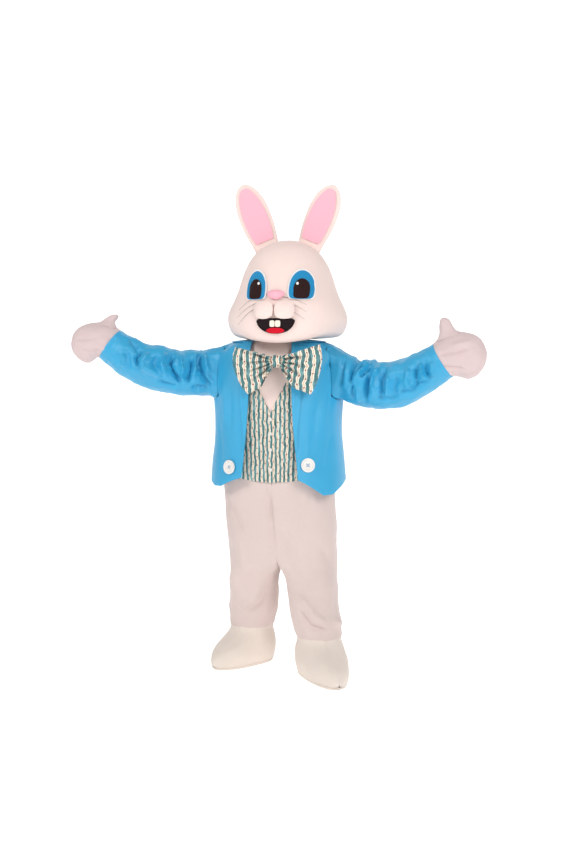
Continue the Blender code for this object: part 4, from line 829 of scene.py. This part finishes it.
# %% Jacket body and sleeves
JACKET_WALL = 0.0025
HEM_DEPTH = 0.020
BODY_AXIS = ((0.0, 0.0, -0.6), (0.0, 0.0, 0.05))
JACKET_RADIUS, SLEEVE_RADIUS = 0.25, 0.092
BODY_FOLDS = (
    (5, 12, (205, -75), (225, -35), (240, -5)),
    (-5, 10, (218, -85), (240, -40), (252, -10)),
    (5, 20, (235, -130), (215, -220), (205, -320)),
    (-4, 18, (200, -160), (180, -260), (172, -360)),
    (-4, 24, (245, -300), (225, -400), (215, -500)),
    (4, 22, (150, -300), (146, -400), (150, -480)),
    (5, 18, (-205, -120), (-195, -210), (-190, -300)),
    (-4, 18, (-170, -150), (-165, -250), (-170, -350)),
    (-4, 22, (-225, -280), (-215, -380), (-210, -480)),
)


def sew_edges(piece, seam_depth):
    """A seam along the edges and a row of stitches beside them."""
    sink_edges(piece, seam_depth, 0.004)
    sink_edges(piece, 0.0008, 0.004, HEM_DEPTH)
    store_edges(piece)


for node in ("jacket_front_left", "jacket_front_right", "jacket_back"):
    piece = outer_face(node, JACKET_WALL, turns_over(14.0))
    press_both(piece, in_metres(BODY_FOLDS))
    rumple(piece, 0.0022, 0.12, 11, (1.0, 1.0, 0.5))
    sew_edges(piece, 0.0010)
    map_round(piece, JACKET_RADIUS, *BODY_AXIS, front=(0.0, 1.0 if node == "jacket_back" else -1.0, 0.0))
    finish_piece(piece, JACKET_SATIN, node, wall=JACKET_WALL)

RIGHT_SLEEVE_FOLDS = (
    (-16, 13, (-528, 10), (-556, -36), (-545, -75)),
    (11, 14, (-500, -10), (-525, -50), (-515, -90)),
    (-6, 12, (-592, 0), (-578, -57), (-590, -80)),
    (-17, 13, (-408, 0), (-418, -60), (-398, -105), (-372, -150)),
    (13, 13, (-440, -10), (-450, -60), (-430, -110)),
    (14, 12, (-380, -10), (-364, -80), (-372, -130)),
    (-14, 12, (-334, -20), (-336, -85), (-358, -145)),
    (12, 11, (-322, -10), (-316, -70), (-325, -120)),
    (-16, 12, (-312, 0), (-306, -55), (-286, -105), (-262, -165)),
    (12, 12, (-285, -20), (-280, -60), (-262, -110)),
    (-12, 11, (-276, -80), (-246, -140)),
    (10, 20, (-445, -115), (-480, -90), (-525, -70)),
    (-9, 15, (-470, -20), (-480, -60), (-462, -90)),
    (7, 13, (-610, -10), (-600, -50), (-615, -75)),
    (-9, 10, (-590, 45), (-560, 15), (-545, -15)),
    (-8, 11, (-340, -165), (-310, -150), (-270, -160)),
    (-7, 12, (-470, -125), (-430, -140), (-390, -150)),
)
LEFT_SLEEVE_FOLDS = (
    (-15, 12, (355, -20), (332, -46), (317, -80), (312, -115), (300, -150)),
    (12, 10, (392, -50), (362, -80), (335, -106)),
    (-9, 7, (375, -45), (352, -70), (332, -90)),
    (-9, 7, (398, -68), (372, -90), (350, -112)),
    (-15, 12, (390, -85), (387, -121), (379, -160), (375, -215)),
    (14, 12, (428, -70), (408, -104), (404, -138), (410, -172)),
    (-14, 13, (455, -65), (438, -112), (442, -158), (433, -200)),
    (11, 14, (470, -100), (462, -150), (452, -190)),
    (-11, 20, (500, -105), (486, -150), (500, -190)),
    (10, 16, (545, -70), (535, -120), (548, -165)),
    (-12, 12, (572, -60), (575, -110), (585, -150)),
    (10, 11, (590, -50), (592, -90), (608, -125)),
    (-10, 9, (606, -50), (612, -85), (634, -118)),
    (11, 14, (350, -150), (345, -185), (355, -210)),
    (-10, 12, (322, -130), (318, -170), (330, -205)),
    (8, 10, (636, -45), (630, -85), (640, -120)),
    (-9, 12, (500, -175), (545, -160), (590, -140), (630, -115)),
    (-8, 12, (420, -190), (470, -195), (520, -180)),
    (-9, 10, (290, -20), (280, -70), (272, -120), (268, -160)),
)
FOLD_DEPTH, FOLD_SPARE = 1.75, 0.035
SLEEVE_AXES = {"left": ((0.245, 0.0, -0.095), (0.650, -0.115, -0.046)),
               "right": ((-0.245, 0.0, -0.092), (-0.684, -0.121, 0.023))}
for side, folds, seed in (("right", RIGHT_SLEEVE_FOLDS, 17), ("left", LEFT_SLEEVE_FOLDS, 13)):
    node = f"sleeve_{side}"
    piece = outer_face(node, JACKET_WALL)
    press(piece, deepened(folds, FOLD_DEPTH), spare=FOLD_SPARE)
    behind = [(depth, width * 1.2, *[(x + 0.02, z + 0.01) for x, z in path])
              for depth, width, *path in in_metres(folds)]
    press(piece, behind, facing=1.0, spare=FOLD_SPARE)
    rumple(piece, 0.0040, 0.05, seed, spare=0.03)
    sew_edges(piece, 0.0012)
    map_round(piece, SLEEVE_RADIUS, *SLEEVE_AXES[side], front=(0.0, 0.3, -1.0))
    finish_piece(piece, JACKET_SATIN, node, wall=JACKET_WALL)
print("jacket ready")

# %% [markdown]
# The collar and the two narrow lapels are the same satin, laid on the fronts.

# %% Collar and lapels
TRIM_WALL = 0.0025
for node in ("lapel_left", "lapel_right", "collar"):
    piece = outer_face(node, TRIM_WALL, turns_over(30.0))
    press(piece, in_metres(BODY_FOLDS))
    store_edges(piece)
    map_round(piece, JACKET_RADIUS, *BODY_AXIS)
    finish_piece(piece, JACKET_SATIN, node, wall=TRIM_WALL)
print("collar and lapels ready")

# %% [markdown]
# The waistcoat is two fronts sewn to the suit, with a placket over the join. Its satin is crinkled, so
# real ripples go into the mesh as well as into the bump.

# %% Waistcoat
VEST_WALL, VEST_RADIUS = 0.002, 0.242
for node, wall, corners, depth, size, seed, stretch in (
    ("vest_left", VEST_WALL, turns_over(30.0), 0.0022, 0.030, 21, 0.35),
    ("vest_right", VEST_WALL, turns_over(30.0), 0.0022, 0.030, 21, 0.35),
    ("placket", TRIM_WALL, None, 0.0012, 0.025, 22, 0.50),
):
    piece = outer_face(node, wall, corners)
    rumple(piece, depth, size, seed, (1.0, 1.0, stretch))
    map_round(piece, VEST_RADIUS, *BODY_AXIS)
    finish_piece(piece, STRIPED_SATIN, node, wall=wall)
print("waistcoat ready")

# %% [markdown]
# The bow's stripes run across each loop, side by side from the outer end to the knot, so the cloth map's
# first number is the distance from the knot. Pleats spread from the knot. They bend the stripes a little,
# and their troughs are stored for the material, which paints shade into them.

# %% Bow tie
BOW_WALL = 0.002
KNOT = np.array((0.030, -0.195, -0.048))
BOW_PLEATS, BOW_PLEAT_SLOPE, BOW_PLEAT_DEPTH, BOW_PLEAT_REACH = 19.0, 0.13, 0.0080, 0.105
BOW_PRINT_SHIFT, BOW_SHADE = 0.35, 1.25
BOW_CORNERS = ((0.170, -0.178), (0.202, 0.018), (-0.084, -0.178), (-0.138, 0.008))
CORNER_REACH, CORNER_CREASE = 0.012, 0.8


def pleat_waves(points):
    """The pleats that spread from the knot: their waves, and how strong they are at each point."""
    arms = points[:, [0, 2]] - KNOT[[0, 2]]
    reach = np.hypot(arms[:, 0], arms[:, 1])
    turn = np.arctan2(arms[:, 1], np.abs(arms[:, 0]))
    turn += np.array([0.10 * noise.noise(Vector((x * 14, 2.0, z * 14))) for x, z in arms])
    depth = np.minimum(reach * BOW_PLEAT_SLOPE, BOW_PLEAT_DEPTH)
    depth = depth * np.exp(-((reach / BOW_PLEAT_REACH) ** 3))
    return np.sin(turn * BOW_PLEATS + np.sign(arms[:, 0])), depth


def from_knot(points):
    """Metres across the stripes and along them."""
    arms = points[:, [0, 2]] - KNOT[[0, 2]]
    waves, depth = pleat_waves(points)
    across = np.abs(arms[:, 0]) * 0.92 + np.abs(arms[:, 1]) * 0.10 + waves * depth * BOW_PRINT_SHIFT
    return across, arms[:, 1]


def near_corner(vertex):
    return any(math.dist((vertex.co.x, vertex.co.z), corner) < CORNER_REACH for corner in BOW_CORNERS)


for node in ("bow_left", "bow_right"):
    piece = outer_face(node, BOW_WALL, near_corner, CORNER_CREASE)
    points, normals = read_points(piece)
    waves, depth = pleat_waves(points)
    write_points(piece, points + normals * (waves * depth)[:, None])
    # How deep each point lies in the pleats' troughs, for the painted shade there.
    store(piece, "pleat", np.clip(-0.3 - waves, 0.0, 0.7) * depth / depth.max() * BOW_SHADE)
    rumple(piece, 0.0018, 0.030, 31)
    map_by(piece, from_knot)
    finish_piece(piece, STRIPED_SATIN, node, wall=BOW_WALL)
piece = whole_solid("bow_knot")
smooth(piece)
map_by(piece, lambda points: (points[:, 0] + 0.006, points[:, 2]))
finish_piece(piece, STRIPED_SATIN, "bow_knot")
print("bow ready")

# %% [markdown]
# The mitts are plush with a thumb sewn on, and a few soft creases run across each palm. The wrist end of
# a mitt is drawn in all round, except on its upper side, so that it goes into the cuff.

# %% Mitts
MITT_CREASES = {
    "left": (
        (-8, 7, (655, -24), (710, -18), (775, 2)),
        (6, 12, (700, 10), (745, 18), (790, 32)),
        (-7, 6, (672, -66), (715, -72), (760, -74)),
    ),
    "right": (
        (-5, 8, (-712, 52), (-760, 38), (-812, 44)),
        (-4, 6, (-705, 0), (-745, -8), (-785, -4)),
    ),
}
MITT_TUCK, MITT_NECK = 0.010, 0.015
for side in ("left", "right"):
    for node in (f"mitt_{side}", f"mitt_thumb_{side}"):
        piece = outer_face(node, PLUSH_WALL)
        press(piece, in_metres(MITT_CREASES[side]))
        sink_edges(piece, 0.0015, 0.006)
        rumple(piece, 0.0035, 0.06, 41)
        if node == f"mitt_{side}":
            arm, cuff = (Vector(end) for end in SLEEVE_AXES[side])
            neck = cuff + (cuff - arm).normalized() * MITT_NECK
            tuck(piece, MITT_TUCK, neck, arm - cuff, upper=0.0)
        finish_piece(piece, MITT_PLUSH, node, wall=PLUSH_WALL)
print("mitts ready")

# %% [markdown]
# The head is plush over a foam shell, in a face half and a back half.

# %% Head
HEAD_WALL = 0.009
for node in ("head_face", "head_back"):
    piece = outer_face(node, HEAD_WALL)
    rumple(piece, 0.0018, 0.10, 51)
    finish_piece(piece, PLUSH, node, wall=HEAD_WALL)
print("head ready")

# %% [markdown]
# The face's parts are thin pads. Each copy is smoothed with its rim kept fairly tight, so that felt keeps
# a cut edge and the stuffed muzzle and nose swell.

# %% Features of the face
CUT_RIM, STUFFED_RIM = 0.9, 0.6


def soft_pad(node, material, rim=STUFFED_RIM):
    piece = whole_solid(node, rim)
    smooth(piece)
    finish_piece(piece, material, node)


for side in ("left", "right"):
    soft_pad(f"eye_white_{side}", WHITE_FELT, CUT_RIM)
    soft_pad(f"eye_blue_{side}", BLUE_FELT, CUT_RIM)
    soft_pad(f"eye_pupil_{side}", DARK_MESH, CUT_RIM)
    soft_pad(f"muzzle_{side}", PLUSH)
    soft_pad(f"tooth_{side}", TOOTH_FELT)
soft_pad("nose", PINK_PLUSH)
soft_pad("mouth", MOUTH_MESH, CUT_RIM)
soft_pad("tongue", RED_FELT)
print("features ready")

# %% [markdown]
# The ears are stuffed plush with a pink lining on the front. Smoothing would round the foot of an ear away
# from the head, so the foot is first pushed down into the seam.

# %% Ears
EAR_FOOT_GAP, EAR_FOOT_DEPTH = 0.006, 0.024
head_shape = bmesh.new()
for node in ("head_face", "head_back"):
    head_shape.from_mesh(nodes[node].data)
head_surface = BVHTree.FromBMesh(head_shape)
head_shape.free()
for side in ("left", "right"):
    node = f"ear_{side}"
    piece = whole_solid(node)
    points, _ = read_points(piece)
    along = points[points[:, 2].argmax()] - points[points[:, 2].argmin()]
    along /= np.linalg.norm(along)
    gaps = np.array([head_surface.find_nearest(point)[3] for point in points])
    points -= along * (EAR_FOOT_DEPTH * (gaps < EAR_FOOT_GAP))[:, None]
    write_points(piece, points)
    smooth(piece)
    rumple(piece, 0.0012, 0.06, 61)
    finish_piece(piece, PLUSH, node)
    node = f"ear_lining_{side}"
    piece = outer_face(node, TRIM_WALL, turns_over(50.0))
    finish_piece(piece, PINK_PLUSH, node, wall=TRIM_WALL)
print("ears ready")

# %% [markdown]
# The buttons are moulded discs. Each starts as a cylinder: its face is inset again and again, down into the
# ring groove, up once more, and down into the dish. Four drills then cut the holes, and a bevel softens all
# edges. The big jacket buttons also show their crossed thread.

# %% Buttons
STRAND_POINTS = 5
BUTTON_STEPS = ((0.20, 0.0), (0.04, -0.40), (0.05, 0.0), (0.04, 0.34), (0.20, -0.20))
HOLE_PLACE, HOLE_RADIUS, BUTTON_ROUNDING = 0.17, 0.085, 0.022
THREAD_THICKNESS = 0.0018


def strand(name, path, thickness, taper=1.0):
    """A thin round strand through a path, which is shared out over a few points."""
    lengths = [0.0]
    for start, end in zip(path, path[1:]):
        lengths.append(lengths[-1] + math.dist(start, end))
    stops = np.linspace(0.0, lengths[-1], STRAND_POINTS)
    places = zip(*(np.interp(stops, lengths, numbers) for numbers in zip(*path)))
    bpy.ops.object.select_all(action="DESELECT")
    bpy.ops.curve.primitive_nurbs_path_add(location=(0.0, 0.0, 0.0))
    piece = bpy.context.object
    piece.name = name
    for number, (knot, place) in enumerate(zip(piece.data.splines[0].points, places)):
        knot.co = (*place, 1.0)
        knot.radius = 1.0 + (taper - 1.0) * number / (STRAND_POINTS - 1)
    piece.data.bevel_depth = thickness / 2
    piece.data.bevel_resolution = 2
    piece.data.resolution_u = 6
    piece.data.use_fill_caps = True
    bpy.ops.object.convert(target="MESH")
    return bpy.context.object


def sewn_button(node):
    """A four-hole button in the place of its solid, and the way to put things on it."""
    points = np.array([vertex.co for vertex in nodes[node].data.vertices])
    center = points.mean(axis=0)
    axis = np.linalg.svd(points - center, full_matrices=False)[2][2]
    axis = -axis if axis[1] > 0 else axis
    lift = (points - center) @ axis
    depth = lift.max() - lift.min()
    radius = np.linalg.norm(points - center - np.outer(lift, axis), axis=1).max()
    seat = Matrix.Translation(Vector(center + axis * (lift.max() + lift.min()) / 2))
    seat @= Vector(axis).to_track_quat("Z", "Y").to_matrix().to_4x4()
    bpy.ops.object.select_all(action="DESELECT")
    bpy.ops.mesh.primitive_cylinder_add(vertices=48, radius=radius, depth=depth)
    piece = bpy.context.object
    piece.name = f"{node}_moulded"
    bpy.ops.object.mode_set(mode="EDIT")
    bpy.ops.mesh.select_all(action="DESELECT")
    shape = bmesh.from_edit_mesh(piece.data)
    for face in shape.faces:
        face.select_set(face.normal.z > 0.9)
    bmesh.update_edit_mesh(piece.data)
    for share, step in BUTTON_STEPS:
        bpy.ops.mesh.inset(thickness=radius * share, depth=depth * step)
    bpy.ops.object.mode_set(mode="OBJECT")
    gap = radius * HOLE_PLACE
    for column, row in ((-1, -1), (-1, 1), (1, -1), (1, 1)):
        bpy.ops.object.select_all(action="DESELECT")
        bpy.ops.mesh.primitive_cylinder_add(vertices=16, radius=radius * HOLE_RADIUS, depth=depth * 3,
                                            location=(column * gap, row * gap, 0.0))
        drill = bpy.context.object
        apply(piece, "BOOLEAN", object=drill, operation="DIFFERENCE")
        bpy.data.objects.remove(drill)
    apply(piece, "BEVEL", width=radius * BUTTON_ROUNDING, segments=2, limit_method="ANGLE",
          angle_limit=math.radians(30))
    piece.matrix_world = seat
    pick(piece)
    bpy.ops.object.transform_apply(location=True, rotation=True, scale=True)
    return piece, seat, gap, depth


for node in [name for name in nodes if "button" in name]:
    piece, seat, gap, depth = sewn_button(node)
    finish_piece(piece, BUTTON_PLASTIC, node)
    if node.startswith("jacket"):
        for number, turn in enumerate((1, -1)):
            path = [(-gap, -gap * turn, -depth * 0.2), (-gap * 0.7, -gap * 0.7 * turn, depth * 0.42),
                    (gap * 0.7, gap * 0.7 * turn, depth * 0.42), (gap, gap * turn, -depth * 0.2)]
            path = [seat @ Vector(place) for place in path]
            piece = strand(f"{node}_thread_{number + 1}", path, THREAD_THICKNESS)
            finish_piece(piece, BLUE_THREAD)
print("buttons ready:", len([name for name in made if "button" in name]))

# %% [markdown]
# The whiskers are stiff nylon, three on each side of the muzzle. Each starts on the face and lies a few
# millimetres in front of it, thinner towards its tip. The places are (x, z) in millimetres.

# %% Whiskers
WHISKER_THICKNESS, WHISKER_LIFT = 0.0018, 0.004
WHISKERS = {
    "right": (((-36, 202), (-82, 190), (-122, 153)),
              ((-46, 178), (-85, 164), (-128, 124)),
              ((-48, 155), (-78, 146), (-125, 94))),
    "left": (((61, 200), (104, 197), (155, 169)),
             ((70, 180), (110, 172), (156, 142)),
             ((73, 158), (104, 146), (148, 113))),
}


def on_head(x, z, lift):
    place = head_surface.ray_cast(Vector((x, -0.6, z)), Vector((0.0, 1.0, 0.0)))[0]
    return (x, place.y - lift, z)


for side, lines in WHISKERS.items():
    for number, line in enumerate(in_metres(lines)):
        path = [on_head(x, z, WHISKER_LIFT * (0.2 + point)) for point, (x, z) in enumerate(line)]
        piece = strand(f"whisker_{side}_{number + 1}", path, WHISKER_THICKNESS, taper=0.45)
        finish_piece(piece, NYLON)
print("whiskers ready")

# %% [markdown]
# The areas were measured on the finished pieces, folds included, and the widths and lengths were set from
# the pieces' spans.

# %% [markdown]
# The studio is a pale floor that curves up into a pale wall. A soft light stands above the camera on the
# left, and a larger one, of about the same power, lower on the right. The sky is even and pale. The view
# transform is the standard one, so that the colours stay as bright as they are set.

# %% Studio
FLOOR = cad_box[0][2] - 0.0005
FLOOR_WIDTH, FLOOR_RUN, FLOOR_START = 24.0, 22.0, -7.0
BEND_START, BEND_RADIUS = 4.0, 2.0
LIGHT_AIM = Vector((0.0, 0.0, -0.4))
SKY_STRENGTH = 0.36
bpy.ops.mesh.primitive_grid_add(x_subdivisions=4, y_subdivisions=80, size=1.0)
floor = bpy.context.object
floor.name = "studio_floor"
points, _ = read_points(floor)
run = (points[:, 1] + 0.5) * FLOOR_RUN + FLOOR_START
turn = np.clip((run - BEND_START) / BEND_RADIUS, 0.0, math.pi / 2)
rest = np.maximum(run - BEND_START - BEND_RADIUS * math.pi / 2, 0.0)
points[:, 0] *= FLOOR_WIDTH
points[:, 1] = np.minimum(run, BEND_START) + BEND_RADIUS * np.sin(turn)
points[:, 2] = FLOOR + BEND_RADIUS * (1 - np.cos(turn)) + rest
write_points(floor, points)
pick(floor)
bpy.ops.object.shade_smooth()
paper = Finish("studio_paper", Roughness=0.9, Emission_Strength=0.55)
paper.shader.inputs["Emission Color"].default_value = (1.0, 1.0, 1.0, 1.0)
paper.set(Base_Color=paper.mix(paper.cloudy(3.0), (0.92, 0.92, 0.92), (0.94, 0.94, 0.94)))
floor.data.materials.append(paper.material)


def soft_light(name, place, size, power):
    place = Vector(place)
    turn = (LIGHT_AIM - place).to_track_quat("-Z", "Y").to_euler()
    bpy.ops.object.light_add(type="AREA", location=place, rotation=turn)
    light = bpy.context.object
    light.name = name
    light.data.size = size
    light.data.energy = power


soft_light("key_light", (-2.4, -3.0, 2.3), 1.2, 74.0)
soft_light("fill_light", (2.6, -3.0, 1.6), 1.8, 76.0)
world = bpy.data.worlds.new("pale_sky")
world.use_nodes = True
background = world.node_tree.nodes["Background"]
background.inputs[0].default_value = (1.0, 1.0, 1.0, 1.0)
background.inputs[1].default_value = SKY_STRENGTH
bpy.context.scene.world = world
bpy.context.scene.view_settings.view_transform = "Standard"
print("studio ready")

# %% Measure and finish
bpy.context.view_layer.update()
triangles = {name: sum(len(face.vertices) - 2 for face in piece.data.polygons)
             for name, piece in made.items()}
largest = max(triangles, key=triangles.get)
print("triangles", sum(triangles.values()), "largest", largest, triangles[largest])
print("box of the solids", cad_box)
